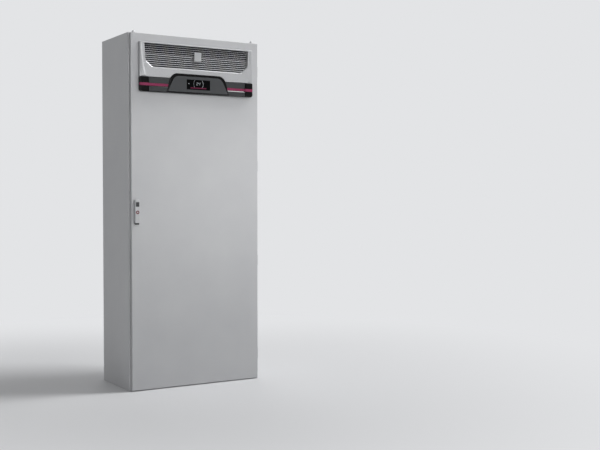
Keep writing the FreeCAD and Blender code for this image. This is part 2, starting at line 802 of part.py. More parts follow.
def handle():
    """Base plate on the door, a hub that turns in it, and a lever that lifts on the hub's lug."""
    low, high = "handle_pivot + handle_over - handle_length", "handle_pivot + handle_over"
    across = about(HANDLE_X, "handle_width")
    corners = [(across[0], low), (across[1], low), (across[1], high), (across[0], high)]
    base_front = f"{DOOR_FRONT} - handle_base"
    plate = prism("handle_base_plate", "XZ", [corners], (base_front, DOOR_FRONT))
    round_edges(plate, "handle_round", lambda middle, way: along(way, "y"))
    bore = cylinder(
        "handle_base_bore",
        "y",
        (f"{base_front} - overcut", f"{DOOR_FRONT} + overcut"),
        (HANDLE_X, "handle_pivot"),
        "spindle_radius + bearing_play",
    )
    sub_part("handle_base", cut("handle_base_bored", plate, [bore]))

    disc_back = f"{base_front} - running_gap"
    disc_front = f"{disc_back} - hub_disc"
    spindle_back = f"{DOOR_FRONT} + spindle_length"
    lug = about(HANDLE_X, "lug_width")
    hub = fuse(
        "handle_hub_blank",
        [
            cylinder(
                "hub_disc_round", "y", (disc_front, disc_back), (HANDLE_X, "handle_pivot"), "hub_radius"
            ),
            cylinder(
                "hub_spindle", "y", (disc_front, spindle_back), (HANDLE_X, "handle_pivot"), "spindle_radius"
            ),
            cylinder("hub_eye", "x", lug, (PIVOT_Y, "handle_pivot"), "lug_radius"),
            box("hub_neck", lug, (PIVOT_Y, disc_back), about("handle_pivot", "2*lug_radius")),
        ],
    )
    pin_hole = cylinder("hub_pin_hole", "x", lug, (PIVOT_Y, "handle_pivot"), "lever_pin_radius")
    sub_part("handle_hub", cut("handle_hub_bored", hub, [pin_hole]))
    pin_span = about(HANDLE_X, "lever_pin_length")
    pin = cylinder("lever_pin_rod", "x", pin_span, (PIVOT_Y, "handle_pivot"), "lever_pin_radius")
    sub_part("lever_pin", pin)

    tip = f"({low} + lever_rise)"
    corners = [
        (LEVER_FRONT, "handle_pivot"),
        (LEVER_BACK, "handle_pivot"),
        (LEVER_BACK, f"{tip} + lever_taper"),
        (f"{LEVER_FRONT} + lever_tip", tip),
        (f"{LEVER_FRONT} + lever_edge/2", tip),
        (LEVER_FRONT, f"{tip} + lever_tip"),
    ]
    width = about(HANDLE_X, "lever_width")
    arm = prism("lever_arm", "YZ", [corners], width)
    front = number(LEVER_FRONT)
    round_edges(arm, "lever_edge", lambda middle, way: along(way, "z") and abs(middle.y - front) < 0.01)
    knob = cylinder("lever_knob", "x", width, (PIVOT_Y, "handle_pivot"), "lever_thick/2")
    slot = box(
        "lever_slot",
        about(HANDLE_X, "lug_width + 2*running_gap"),
        (f"{LEVER_FRONT} + lever_skin", f"{LEVER_BACK} + overcut"),
        ("handle_pivot - lever_slot_drop", "handle_pivot + lever_thick"),
    )
    pin_bore = cylinder(
        "lever_pin_bore",
        "x",
        about(HANDLE_X, "lever_pin_length + 2*running_gap"),
        (PIVOT_Y, "handle_pivot"),
        "lever_pin_radius + bearing_play",
    )
    lock_z = "handle_pivot - lock_drop"
    lock_span = (f"{LEVER_FRONT} - lock_proud", LEVER_BACK)
    lock_middle = (HANDLE_X, lock_z)
    lock_room = "lock_radius + bearing_play"
    through = (f"{LEVER_FRONT} - overcut", f"{LEVER_BACK} + overcut")
    lock_bore = cylinder("lever_lock_bore", "y", through, lock_middle, lock_room)
    seat_span = (f"{LEVER_FRONT} - overcut", f"{LEVER_FRONT} + lever_skin")
    ring_seat = cylinder("lever_ring_seat", "y", seat_span, lock_middle, "lock_ring")
    lever = fuse("lever_blank", [arm, knob])
    sub_part("handle_lever", cut("lever_cut", lever, [slot, pin_bore, lock_bore, ring_seat]))

    ring_span = (f"{LEVER_FRONT} - lock_proud", f"{LEVER_FRONT} + lever_skin")
    ring = cylinder("lock_ring_disc", "y", ring_span, lock_middle, "lock_ring")
    ring_bore = cylinder("lock_ring_bore", "y", through, lock_middle, lock_room)
    sub_part("lock_ring", cut("lock_ring_cut", ring, [ring_bore]))
    barrel = cylinder("lock_barrel", "y", lock_span, lock_middle, "lock_radius")
    key = box(
        "lock_key_slot",
        about(HANDLE_X, "key_width"),
        (f"{lock_span[0]} - overcut", f"{lock_span[0]} + key_depth"),
        about(lock_z, "key_height"),
    )
    sub_part("lock_cylinder", cut("lock_barrel_cut", barrel, [key]))


def lock():
    """Pinion on the spindle between two flat rods that it drives apart, in a case on the door."""
    depth = (f"{DOOR_FRONT} + pinion_setback", f"{DOOR_FRONT} + pinion_setback + pinion_thick")
    wheel = cylinder("pinion_wheel", "y", depth, (HANDLE_X, "handle_pivot"), "pinion_pitch - pinion_back")
    hole = cylinder("pinion_hole", "y", depth, (HANDLE_X, "handle_pivot"), "spindle_radius")
    sub_part("lock_pinion", cut("pinion_bored", wheel, [hole]))

    rod_depth = (f"{DOOR_FRONT} + rod_setback", f"{DOOR_FRONT} + rod_setback + rod_thick")
    upper_x = (f"{HANDLE_X} - pinion_pitch - rod_width", f"{HANDLE_X} - pinion_pitch")
    lower_x = (f"{HANDLE_X} + pinion_pitch", f"{HANDLE_X} + pinion_pitch + rod_width")
    upper_z = ("handle_pivot - rod_tail", f"{DOOR_TOP} - rod_end")
    lower_z = ("door_bottom + rod_end", "handle_pivot + rod_tail")
    sub_part("lock_rod_upper", box("rod_upper_bar", upper_x, rod_depth, upper_z))
    sub_part("lock_rod_lower", box("rod_lower_bar", lower_x, rod_depth, lower_z))

    def loose(span):
        return f"{span[0]} - running_gap", f"{span[1]} + running_gap"

    case_depth = (DOOR_INSIDE, f"{LIP_FRONT} - running_gap")
    case = box(
        "case_outer", about(HANDLE_X, "case_width"), case_depth, about("handle_pivot", "case_height")
    )
    hollow = box(
        "case_hollow",
        about(HANDLE_X, "case_width - 2*case_wall"),
        (DOOR_INSIDE, f"{LIP_FRONT} - running_gap - case_wall"),
        about("handle_pivot", "case_height - 2*case_wall"),
    )
    top_slot = box(
        "case_top_slot", loose(upper_x), loose(rod_depth), ("handle_pivot", "handle_pivot + case_height")
    )
    bottom_slot = box(
        "case_bottom_slot", loose(lower_x), loose(rod_depth), ("handle_pivot - case_height", "handle_pivot")
    )
    sub_part("lock_case", cut("lock_case_shell", case, [hollow, top_slot, bottom_slot]))

    guides = []
    places = [
        (upper_x, f"{DOOR_TOP} - guide_end"),
        (upper_x, "handle_pivot + guide_middle"),
        (lower_x, "handle_pivot - guide_middle"),
        (lower_x, "door_bottom + guide_end"),
    ]
    for place, (across, height) in enumerate(places):
        middle = f"(({across[0]}) + ({across[1]}))/2"
        block = box(
            f"guide_block_{place}",
            about(middle, "guide_width"),
            (DOOR_INSIDE, LIP_FRONT),
            about(height, "guide_height"),
        )
        slot = box(
            f"guide_slot_{place}", loose(across), loose(rod_depth), about(height, "guide_height + 2*overcut")
        )
        guides.append(cut(f"rod_guide_{place}", block, [slot]))
    sub_part("rod_guides", group("rod_guides_group", guides))


def inlet_outline(inset):
    """The air inlet seen from the front: straight top, sides that draw in, cut-off lower corners."""
    top, foot = f"{GRILLE_TOP} - {inset}", f"{GRILLE_TOP} - grille_height + {inset}"
    shoulder = f"{GRILLE_TOP} - grille_height + grille_corner_height"
    upper = f"grille_width/2 - {inset}"
    middle = f"grille_width/2 - grille_taper - {inset}"
    lower = f"grille_width/2 - grille_taper - grille_corner_width - grille_corner_share*{inset}"
    right = [(upper, top), (middle, shoulder), (lower, foot)]
    left = [(f"-({across})", up) for across, up in reversed(right)]
    return right + left


def fascia_shell():
    """A moulded frame round the inlet: upright sides, sloping flanks, its upper half leaning back."""
    owner = body("fascia_loft")
    half = "fascia_width/2"

    def outline(lower, upper, foot, head, start):
        sketch = sketch_on(owner, "XZ", start)
        add_polygon(sketch, [(f"-({lower})", foot), (lower, foot), (upper, head), (f"-({upper})", head)])
        return sketch

    back = outline(half, half, BAND_TOP, FASCIA_TOP, DOOR_FRONT)
    brow = outline(half, half, BAND_TOP, FASCIA_TOP, f"{DOOR_FRONT} - fascia_side_depth")
    lower, upper = f"{half} - fascia_flank_bottom", f"{half} - fascia_flank_top"
    front = outline(lower, upper, BAND_TOP, f"{FASCIA_TOP} - fascia_wall", FASCIA_FRONT)
    loft = owner.newObject("PartDesign::AdditiveLoft", "fascia_block")
    loft.Profile = back
    loft.Sections = [brow, front]
    loft.Ruled = True
    lean = [
        (FASCIA_FRONT, f"{FASCIA_TOP} - fascia_lean"),
        (f"{DOOR_FRONT} - fascia_top_depth", FASCIA_TOP),
        (FASCIA_FRONT, f"{FASCIA_TOP} + overcut"),
        (f"{FASCIA_FRONT} - overcut", f"{FASCIA_TOP} + overcut"),
        (f"{FASCIA_FRONT} - overcut", f"{FASCIA_TOP} - fascia_lean"),
    ]
    slope = prism("fascia_slope", "YZ", [lean], even("fascia_width + 2*overcut"))
    through = (f"{FASCIA_FRONT} - overcut", f"{DOOR_FRONT} + overcut")
    inlet = prism("fascia_inlet", "XZ", [inlet_outline("0")], through)
    hollow = box(
        "fascia_hollow",
        even("fascia_width - 2*fascia_flank_bottom - 2*fascia_wall"),
        (f"{FASCIA_FRONT} + fascia_wall", DOOR_FRONT),
        (f"{BAND_TOP} + fascia_wall", f"{GRILLE_TOP} - grille_height - fascia_wall"),
    )
    sub_part("fascia_shell", cut("fascia_frame", owner, [slope, inlet, hollow]))


def louvre_grille():
    """Sloping blades between the two ends of a rim that follows the inlet."""
    depth = (f"{DOOR_FRONT} - louvre_front", f"{DOOR_FRONT} - louvre_back")
    rim = prism("grille_rim_ring", "XZ", [inlet_outline("running_gap"), inlet_outline("grille_rim")], depth)
    room = prism("grille_room", "XZ", [inlet_outline("grille_rim/2")], depth)
    blades = []
    for place in range(count("louvre_count")):
        foot = f"{GRILLE_TOP} - grille_height + grille_rim + louvre_first + {place}*louvre_pitch"
        corners = [
            (depth[0], foot),
            (depth[1], f"{foot} + louvre_rise"),
            (depth[1], f"{foot} + louvre_rise + louvre_thick"),
            (depth[0], f"{foot} + louvre_thick"),
        ]
        blades.append(prism(f"louvre_{place}", "YZ", [corners], even("grille_width")))
    trimmed = doc.addObject("Part::Common", "louvres_trimmed")
    trimmed.Base = fuse("louvres", blades)
    trimmed.Tool = room
    sub_part("louvre_grille", fuse("grille_joined", [rim, trimmed]))

    across = even("badge_width")
    height = about(f"{FASCIA_TOP} - badge_drop", "badge_height")
    corners = [
        (across[0], height[0]),
        (across[1], height[0]),
        (across[1], height[1]),
        (across[0], height[1]),
    ]
    badge = prism("badge_plate", "XZ", [corners], (f"{depth[0]} - badge_thick", depth[0]))
    round_edges(badge, "badge_round", lambda middle, way: along(way, "y"))
    sub_part("badge", badge)

    mat = box(
        "filter_fleece",
        even("intake_width + 2*mat_margin"),
        (f"{DOOR_FRONT} - louvre_back", DOOR_FRONT),
        (f"{INTAKE[0]} - mat_margin", f"{INTAKE[1]} + mat_margin"),
    )
    room = prism(
        "filter_room", "XZ", [inlet_outline("running_gap")], (f"{DOOR_FRONT} - louvre_back", DOOR_FRONT)
    )
    trimmed = doc.addObject("Part::Common", "filter_trimmed")
    trimmed.Base = mat
    trimmed.Tool = room
    sub_part("filter_mat", trimmed)


def trapezium(base, top, foot, height):
    low, high = foot, f"{foot} + {height}"
    return [(f"-{base}/2", low), (f"{base}/2", low), (f"{top}/2", high), (f"-{top}/2", high)]


def band_and_pod():
    """Dark band with end caps and accent strips, and the display pod that stands on it."""
    half = "fascia_width/2"
    inner_end = f"({half} - cap_width)"
    accent = about(f"{FASCIA_BOTTOM} + accent_rise", "accent_height")
    strip_front = f"{FASCIA_FRONT} + accent_recess"
    strip_depth = (strip_front, f"{strip_front} + accent_depth")
    groove_depth = (f"{FASCIA_FRONT} - overcut", strip_depth[1])
    strips, band_grooves, caps = [], [], []
    for side, hand in ((-1, "left"), (1, "right")):
        middle_run = sided(side, "accent_start", inner_end)
        end_run = sided(side, inner_end, f"{half} - accent_end")
        strips.append(box(f"accent_{hand}", middle_run, strip_depth, accent))
        strips.append(box(f"accent_cap_{hand}", end_run, strip_depth, accent))
        band_grooves.append(box(f"groove_{hand}", middle_run, groove_depth, accent))

        across = sided(side, inner_end, half)
        foot, head = FASCIA_BOTTOM, BAND_TOP
        corners = [(across[0], foot), (across[1], foot), (across[1], head), (across[0], head)]
        cap = prism(f"cap_{hand}", "XZ", [corners], (FASCIA_FRONT, DOOR_FRONT))
        edge, low = side * number(half), number(FASCIA_BOTTOM)
        front = number(FASCIA_FRONT)

        def lower_corner(middle, way):
            return along(way, "y") and abs(middle.x - edge) < 0.01 and abs(middle.z - low) < 0.01

        def front_edge(middle, way):
            return along(way, "z") and abs(middle.x - edge) < 0.01 and abs(middle.y - front) < 0.01

        round_edges(cap, "cap_round", lower_corner)
        round_edges(cap, "cap_edge", front_edge)
        caps.append(
            cut(f"band_cap_{hand}", cap, [box(f"cap_groove_{hand}", end_run, groove_depth, accent)])
        )
    sub_part("accent_strips", group("accent_group", strips))
    sub_part("band_end_caps", group("cap_group", caps))

    bar = box("band_bar", even(f"2*{inner_end}"), (FASCIA_FRONT, DOOR_FRONT), (FASCIA_BOTTOM, BAND_TOP))
    hollow = box(
        "band_hollow",
        even(f"2*({inner_end} - fascia_wall)"),
        (f"{FASCIA_FRONT} + 2*fascia_wall", DOOR_FRONT),
        (f"{FASCIA_BOTTOM} + fascia_wall", f"{BAND_TOP} - fascia_wall"),
    )
    sub_part("lower_band", cut("band_cut", bar, [hollow, *band_grooves]))

    def hump(name, base, top, foot, height, depth, radius):
        solid = prism(name, "XZ", [trapezium(base, top, foot, height)], depth)
        head = number(f"{foot} + {height}")
        return round_edges(
            solid, radius, lambda middle, way: along(way, "y") and abs(middle.z - head) < 0.01
        )

    pod_front = f"{FASCIA_FRONT} - pod_thick"
    foot = f"{FASCIA_BOTTOM} + pod_lift"
    pod = hump(
        "pod_block", "pod_base", "pod_top", foot, "pod_height", (pod_front, FASCIA_FRONT), "pod_round"
    )
    face_depth = (pod_front, f"{pod_front} + face_thick")
    face_foot = f"{foot} + face_lift"
    face = hump("face_plate", "face_base", "face_top", face_foot, "face_height", face_depth, "face_round")
    sub_part("display_pod", cut("pod_pocketed", pod, [face]))
    across = even("screen_width")
    height = (f"{FASCIA_BOTTOM} + screen_rise", f"{FASCIA_BOTTOM} + screen_rise + screen_height")
    corners = [
        (across[0], height[0]),
        (across[1], height[0]),
        (across[1], height[1]),
        (across[0], height[1]),
    ]
    screen = prism("screen_glass", "XZ", [corners], (pod_front, f"{pod_front} + screen_thick"))
    round_edges(screen, "screen_round", lambda middle, way: along(way, "y"))
    sub_part("display_screen", screen)
    sub_part("display_face", cut("face_pocketed", face, [screen]))


def cooler_case():
    """Sheet housing on two support rails, split in a warm upper and a cold lower room."""
    supports = []
    reach = f"({HALF_WIDTH} - post_width)"
    for side, hand in ((-1, "left"), (1, "right")):
        across = sided(side, f"{reach} - support_width", reach)
        height = (f"{COOLER_BOTTOM} - support_height", COOLER_BOTTOM)
        deep = (f"{FRONT} + post_width", f"{BACK} - post_width")
        supports.append(square_tube(f"cooler_support_{hand}", "y", across, deep, height))
    sub_part("cooler_support_rails", group("cooler_support_group", supports))

    shell = box(
        "cooler_outer", even(COOLER_WIDTH), (COOLER_FRONT, COOLER_BACK), (COOLER_BOTTOM, COOLER_TOP)
    )
    hollow = box(
        "cooler_hollow",
        even(COOLER_INNER),
        (COIL_FRONT, f"{COOLER_BACK} - cooler_sheet"),
        (COOLER_FLOOR, f"{COOLER_TOP} - cooler_sheet"),
    )
    through = (f"{COOLER_FRONT} - overcut", f"{COIL_FRONT} + overcut")
    inlet = box("cooler_inlet", even("intake_width"), through, INTAKE)
    lid = (f"{COOLER_TOP} - cooler_sheet - overcut", f"{COOLER_TOP} + overcut")
    exhaust = box("cooler_exhaust", *VENT, lid)
    cold_in = box(
        "cooler_cold_in",
        even("evaporator_width - 2*cold_in_margin"),
        through,
        (f"{COOLER_FLOOR} + cold_in_rise", f"{COOLER_FLOOR} + evaporator_height - cold_in_margin"),
    )
    cold_out = box(
        "cooler_cold_out",
        about("-blower_offset", "2*blower_radius"),
        (f"{COOLER_BACK} - cold_out_back - cold_out_depth", f"{COOLER_BACK} - cold_out_back"),
        (f"{COOLER_BOTTOM} - overcut", f"{COOLER_FLOOR} + overcut"),
    )
    sub_part("cooler_housing", cut("cooler_shell", shell, [hollow, inlet, exhaust, cold_in, cold_out]))

    deck = box(
        "partition_sheet_plate",
        even(COOLER_INNER),
        (COIL_FRONT, f"{COOLER_BACK} - cooler_sheet"),
        (f"{PARTITION_TOP} - partition_sheet", PARTITION_TOP),
    )
    holes = []
    span = (f"{PARTITION_TOP} - partition_sheet - overcut", f"{PARTITION_TOP} + overcut")
    for name, place in (("hot", (DISCHARGE_X, COMPRESSOR_Y)), ("liquid", (DRIER_X, DRIER_Y))):
        holes.append(cylinder(f"partition_hole_{name}", "z", span, place, "pipe_hole"))
    sub_part("cooler_partition", cut("partition_drilled", deck, holes))

    duct_z = (COOLER_TOP, f"{TOP} - roof_sheet")
    walls = box(
        "duct_outer", even("vent_width + 2*cooler_sheet"), even("vent_depth + 2*cooler_sheet"), duct_z
    )
    sub_part("exhaust_duct", cut("duct_tube", walls, [box("duct_bore", *VENT, duct_z)]))

    margin = "collar_margin - collar_wall"
    low, high = INTAKE
    deep = (f"{DOOR_INSIDE} + running_gap", COOLER_FRONT)
    outer = box(
        "collar_outer",
        even("intake_width + 2*collar_margin"),
        deep,
        (f"{low} - collar_margin", f"{high} + collar_margin"),
    )
    bore = box(
        "collar_bore",
        even(f"intake_width + 2*({margin})"),
        deep,
        (f"{low} - ({margin})", f"{high} + ({margin})"),
    )
    sub_part("intake_collar", cut("collar_tube", outer, [bore]))


def coil(name, width, foot, height, front):
    """A finned block between two end plates that stand a little taller and deeper."""
    fins = box(
        f"{name}_fins",
        even(f"{width} - 2*coil_plate"),
        (front, f"{front} + coil_depth"),
        (foot, f"{foot} + {height}"),
    )
    pieces = [fins]
    for side, hand in ((-1, "left"), (1, "right")):
        across = sided(side, f"{width}/2 - coil_plate", f"{width}/2")
        deep = (front, f"{front} + coil_depth + coil_plate_over")
        pieces.append(
            box(f"{name}_plate_{hand}", across, deep, (foot, f"{foot} + {height} + coil_plate_over"))
        )
    sub_part(name, fuse(f"{name}_block", pieces))


def coils():
    wide = "(intake_width + 2*condenser_margin)"
    coil("condenser_coil", wide, PARTITION_TOP, "condenser_height", COIL_FRONT)
    floor = f"{COOLER_FLOOR} + tray_wall"
    coil("evaporator_coil", "evaporator_width", floor, "evaporator_height", EVAPORATOR_FRONT)
    outer_depth = (COIL_FRONT, f"{EVAPORATOR_FRONT} + coil_depth + coil_plate_over + tray_margin")
    inner_depth = (f"{outer_depth[0]} + tray_wall", f"{outer_depth[1]} - tray_wall")
    height = (COOLER_FLOOR, f"{COOLER_FLOOR} + tray_height")
    tray = box("tray_outer", even("evaporator_width + 2*tray_margin"), outer_depth, height)
    hollow = box(
        "tray_hollow",
        even("evaporator_width + 2*tray_margin - 2*tray_wall"),
        inner_depth,
        (floor, f"{COOLER_FLOOR} + tray_height"),
    )
    sub_part("condensate_tray", cut("tray_cut", tray, [hollow]))


def ring_of(owner, feature, name, copies):
    """Repeat a body's feature evenly round its z axis."""
    pattern = owner.newObject("PartDesign::PolarPattern", name)
    pattern.Originals = [feature]
    pattern.Axis = (origin_feature(owner, "Z_Axis"), [""])
    pattern.Angle = 360
    pattern.setExpression("Occurrences", bound(copies))
    owner.Tip = pattern


def facing_front(owner, x, y, z):
    """Lay a body built round z along y, its z axis pointing to the back, and move it there."""
    owner.Placement = Placement(Vector(), TURN["y"])
    for letter, place in zip("xyz", (x, y, z)):
        owner.setExpression(f"Placement.Base.{letter}", bound(place))


def axial_rotor():
    """Hub with twisted blades: each blade is lofted from a steep root to a flatter tip."""
    owner = body("axial_fan")
    hub = sketch_on(owner, "XY", "0")
    add_circle(hub, "fan_hub")
    add_circle(hub, "shaft_radius + bearing_play")
    pad(owner, hub, "XY", "fan_hub_depth")

    def section(start, chord, pitch):
        sketch = sketch_on(owner, "YZ", start)
        corners = []
        for ahead, above in ((-1, -1), (1, -1), (1, 1), (-1, 1)):
            across = f"{ahead}*{chord}/2*cos({pitch}) - {above}*fan_blade_thick/2*sin({pitch})"
            up = f"fan_hub_depth/2 + {ahead}*{chord}/2*sin({pitch}) + {above}*fan_blade_thick/2*cos({pitch})"
            corners.append((across, up))
        add_polygon(sketch, corners)
        return sketch

    root = section("fan_hub - fan_blade_sink", "fan_chord_root", "fan_pitch_root")
    tip = section("fan_radius", "fan_chord_tip", "fan_pitch_tip")
    doc.recompute()
    blade = owner.newObject("PartDesign::AdditiveLoft", "axial_blade")
    blade.Profile = root
    blade.Sections = [tip]
    doc.recompute()
    ring_of(owner, blade, "axial_blades", "fan_blades")
    facing_front(owner, "0", f"{FAN_MIDDLE} - fan_hub_depth/2", FAN_Z)
    sub_part("condenser_fan_rotor", owner)


def radial_impeller():
    """Back disc with a hub and straight blades that lean backwards, closed by a ring in front."""
    owner = body("radial_fan")
    ring = sketch_on(owner, "XY", "0")
    add_circle(ring, "blower_radius")
    add_circle(ring, "blower_eye")
    pad(owner, ring, "XY", "blower_disc")
    blade = sketch_on(owner, "XY", "0")
    corners = []
    for step, above in ((0, -1), (1, -1), (1, 1), (0, 1)):
        ahead, aside = f"{step}*blower_blade_length", f"{above}*blower_blade_thick/2"
        across = f"blower_blade_start + {ahead}*cos(blower_lean) - {aside}*sin(blower_lean)"
        up = f"{ahead}*sin(blower_lean) + {aside}*cos(blower_lean)"
        corners.append((across, up))
    add_polygon(blade, corners)
    vane = pad(owner, blade, "XY", "blower_depth")
    doc.recompute()
    ring_of(owner, vane, "radial_blades", "blower_blades")
    disc = sketch_on(owner, "XY", "blower_depth - blower_disc")
    add_circle(disc, "blower_radius")
    add_circle(disc, "shaft_radius + bearing_play")
    pad(owner, disc, "XY", "blower_disc")
    hub = sketch_on(owner, "XY", "blower_depth/2")
    add_circle(hub, "blower_hub")
    add_circle(hub, "shaft_radius + bearing_play")
    pad(owner, hub, "XY", "blower_depth/2")
    facing_front(owner, "-blower_offset", BLOWER_FRONT, BLOWER_Z)
    sub_part("evaporator_impeller", owner)


def fans():
    plate_z = (PARTITION_TOP, f"{COOLER_TOP} - cooler_sheet")
    plate = box("shroud_plate", even(COOLER_INNER), (SHROUD_FRONT, SHROUD_BACK), plate_z)
    collar = cylinder(
        "shroud_collar_ring", "y", (SHROUD_FRONT, COLLAR_BACK), ("0", FAN_Z), "shroud_radius + shroud_sheet"
    )
    through = (f"{SHROUD_FRONT} - overcut", f"{COLLAR_BACK} + overcut")
    bore = cylinder("shroud_bore", "y", through, ("0", FAN_Z), "shroud_radius")
    openings = [bore]
    for name, across in (("hot", DISCHARGE_X), ("liquid", DRIER_X)):
        span = (f"{SHROUD_FRONT} - overcut", f"{SHROUD_BACK} + overcut")
        openings.append(cylinder(f"shroud_hole_{name}", "y", span, (across, PIPE_LEVEL), "pipe_hole"))
    sub_part("condenser_fan_shroud", cut("shroud_bored", fuse("shroud_blank", [plate, collar]), openings))

    motor_front = f"({COLLAR_BACK} + motor_gap)"
    arm_span = (COLLAR_BACK, f"{COLLAR_BACK} + motor_arm_thick")
    reach = "2*shroud_radius + 2*shroud_sheet"
    motor = fuse(
        "condenser_motor_blank",
        [
            cylinder(
                "condenser_motor_can",
                "y",
                (motor_front, f"{motor_front} + motor_depth"),
                ("0", FAN_Z),
                "motor_radius",
            ),
            cylinder(
                "condenser_shaft",
                "y",
                (f"{FAN_BACK} - fan_hub_depth + motor_gap", motor_front),
                ("0", FAN_Z),
                "shaft_radius",
            ),
            box("motor_arm_across", even(reach), arm_span, about(FAN_Z, "motor_arm")),
            box("motor_arm_upright", even("motor_arm"), arm_span, about(FAN_Z, reach)),
        ],
    )
    sub_part("condenser_fan_motor", motor)

    wall = f"({COOLER_BACK} - cooler_sheet)"
    middle = ("-blower_offset", BLOWER_Z)
    motor = fuse(
        "evaporator_motor_blank",
        [
            cylinder(
                "evaporator_motor_can",
                "y",
                (f"{wall} - blower_motor_depth", wall),
                middle,
                "blower_motor_radius",
            ),
            cylinder(
                "evaporator_shaft",
                "y",
                (f"{BLOWER_BACK} - blower_depth/2 + motor_gap", wall),
                middle,
                "shaft_radius",
            ),
        ],
    )
    sub_part("evaporator_fan_motor", motor)
    axial_rotor()
    radial_impeller()


def compressor():
    """Hermetic compressor: a turned can with a domed lid, on rubber feet."""
    owner = body("compressor_shell")
    profile = sketch_on(owner, "XZ", "0")
    rim = "compressor_radius - compressor_round"
    corners = [
        ("0", "0"),
        (rim, "0"),
        ("compressor_radius", "compressor_round"),
        ("compressor_radius", "compressor_height - compressor_dome"),
        (rim, "compressor_height - compressor_dome/3"),
        ("compressor_crown", "compressor_height"),
        ("0", "compressor_height"),
    ]
    add_polygon(profile, corners)
    turned = owner.newObject("PartDesign::Revolution", "compressor_turned")
    turned.Profile = profile
    turned.ReferenceAxis = (profile, ["V_Axis"])
    turned.Angle = 360
    for letter, place in zip("xyz", (COMPRESSOR_X, COMPRESSOR_Y, COMPRESSOR_FOOT)):
        owner.setExpression(f"Placement.Base.{letter}", bound(place))
    sub_part("compressor", owner)
    feet = []
    for side in (-1, 1):
        for end in (-1, 1):
            middle = (f"{COMPRESSOR_X} + {side}*foot_spread", f"{COMPRESSOR_Y} + {end}*foot_spread")
            span = (COOLER_FLOOR, COMPRESSOR_FOOT)
            feet.append(cylinder(f"foot_{side + 1}_{end + 1}", "z", span, middle, "foot_radius"))
    sub_part("compressor_feet", group("compressor_feet_group", feet))


def elbow_line(name, x, y, start, turn, end, rising):
    """A pipe that runs upright from start, bends at height turn and goes forward to end."""
    bend = f"({turn}) - {rising}*pipe_bend"
    upright = (start, bend) if rising > 0 else (bend, start)
    torus = doc.addObject("Part::Torus", f"{name}_bend")
    axes = (Vector(0, 1, 0), Vector(0, 0, rising), Vector(rising, 0, 0))
    torus.Placement = Placement(Vector(), Rotation(*axes, "XYZ"))
    torus.Angle3 = 90
    torus.setExpression("Radius1", bound("pipe_bend"))
    torus.setExpression("Radius2", bound("pipe_radius"))
    for letter, place in zip("xyz", (x, f"{y} - pipe_bend", bend)):
        torus.setExpression(f"Placement.Base.{letter}", bound(place))
    pieces = [
        cylinder(f"{name}_upright", "z", upright, (x, y), "pipe_radius"),
        torus,
        cylinder(f"{name}_level", "y", (end, f"{y} - pipe_bend"), (x, turn), "pipe_radius"),
    ]
    return fuse(name, pieces)


def refrigerant_circuit():
    """Hot gas line, suction line, and liquid line with its drier and expansion valve."""
    fins_back = f"({EVAPORATOR_FRONT} + coil_depth)"
    drier_top = f"({DRIER_FOOT} + drier_height)"
    valve_back = f"({fins_back} + valve_size)"
    suction_level = f"({COMPRESSOR_TOP} + suction_rise)"
    valve = box(
        "expansion_valve_body",
        about(DRIER_X, "valve_size"),
        (fins_back, valve_back),
        about(VALVE_Z, "valve_size"),
    )
    lines = [
        elbow_line("hot_gas_line", DISCHARGE_X, COMPRESSOR_Y, COMPRESSOR_TOP, PIPE_LEVEL, COIL_BACK, 1),
        elbow_line("suction_line", SUCTION_X, COMPRESSOR_Y, COMPRESSOR_TOP, suction_level, fins_back, 1),
        elbow_line("liquid_line_upper", DRIER_X, DRIER_Y, drier_top, PIPE_LEVEL, COIL_BACK, 1),
        fuse(
            "valve_joined",
            [elbow_line("liquid_line_lower", DRIER_X, DRIER_Y, DRIER_FOOT, VALVE_Z, valve_back, -1), valve],
        ),
    ]
    sub_part("refrigerant_pipes", group("refrigerant_group", lines))
    drier = cylinder("drier_can", "z", (DRIER_FOOT, drier_top), (DRIER_X, DRIER_Y), "drier_radius")
    sub_part("filter_drier", drier)


def control_box():
    wall = f"({COOLER_BACK} - cooler_sheet)"
    reach = f"({COOLER_INNER}/2 - control_inset)"
    inner_end = f"{DRIER_X} - drier_radius - control_gap"
    case = prism(
        "control_case",
        "XY",
        [
            [
                (f"-{reach}", f"{wall} - control_depth"),
                (inner_end, f"{wall} - control_depth"),
                (inner_end, wall),
                (f"-{reach}", wall),
            ]
        ],
        (COOLER_FLOOR, f"{COOLER_FLOOR} + control_height"),
    )
    round_edges(case, "control_round", lambda middle, way: along(way, "z"))
    sub_part("control_box", case)


def main():
    frame()
    flat_parts()
    door()
    hinges()
    handle()
    lock()
    fascia_shell()
    louvre_grille()
    band_and_pod()
    cooler_case()
    coils()
    fans()
    compressor()
    refrigerant_circuit()
    control_box()
    doc.recompute()
    for item in doc.Objects:
        if "Invalid" in item.State or "Error" in item.State:
            raise RuntimeError(f"{item.Label} did not recompute: {item.State}")
    for piece in SUB_PARTS:
        if piece.Shape.isNull() or not piece.Shape.isValid():
            raise RuntimeError(f"{piece.Label} has no valid shape")
    os.makedirs("parts", exist_ok=True)
    for piece in SUB_PARTS:
        piece.Shape.exportStep(os.path.join("parts", f"{piece.Label}.step"))
    print(len(SUB_PARTS), "sub-parts written")


main()
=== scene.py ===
# %% [markdown]
# A tall sheet steel enclosure with a cooling unit behind the top of its door.
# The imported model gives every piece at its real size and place. This lesson dresses it: rounded
# edges on the folded sheet, a moulded fascia with a louvred inlet, a display, a swing handle,
# punched posts, and the fins and tubes of the cooling unit.
# Shapes are written in millimetres and turned to metres in one place.

# %% Load the frame
import json

import bmesh
import bpy
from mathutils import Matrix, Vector
import numpy as np


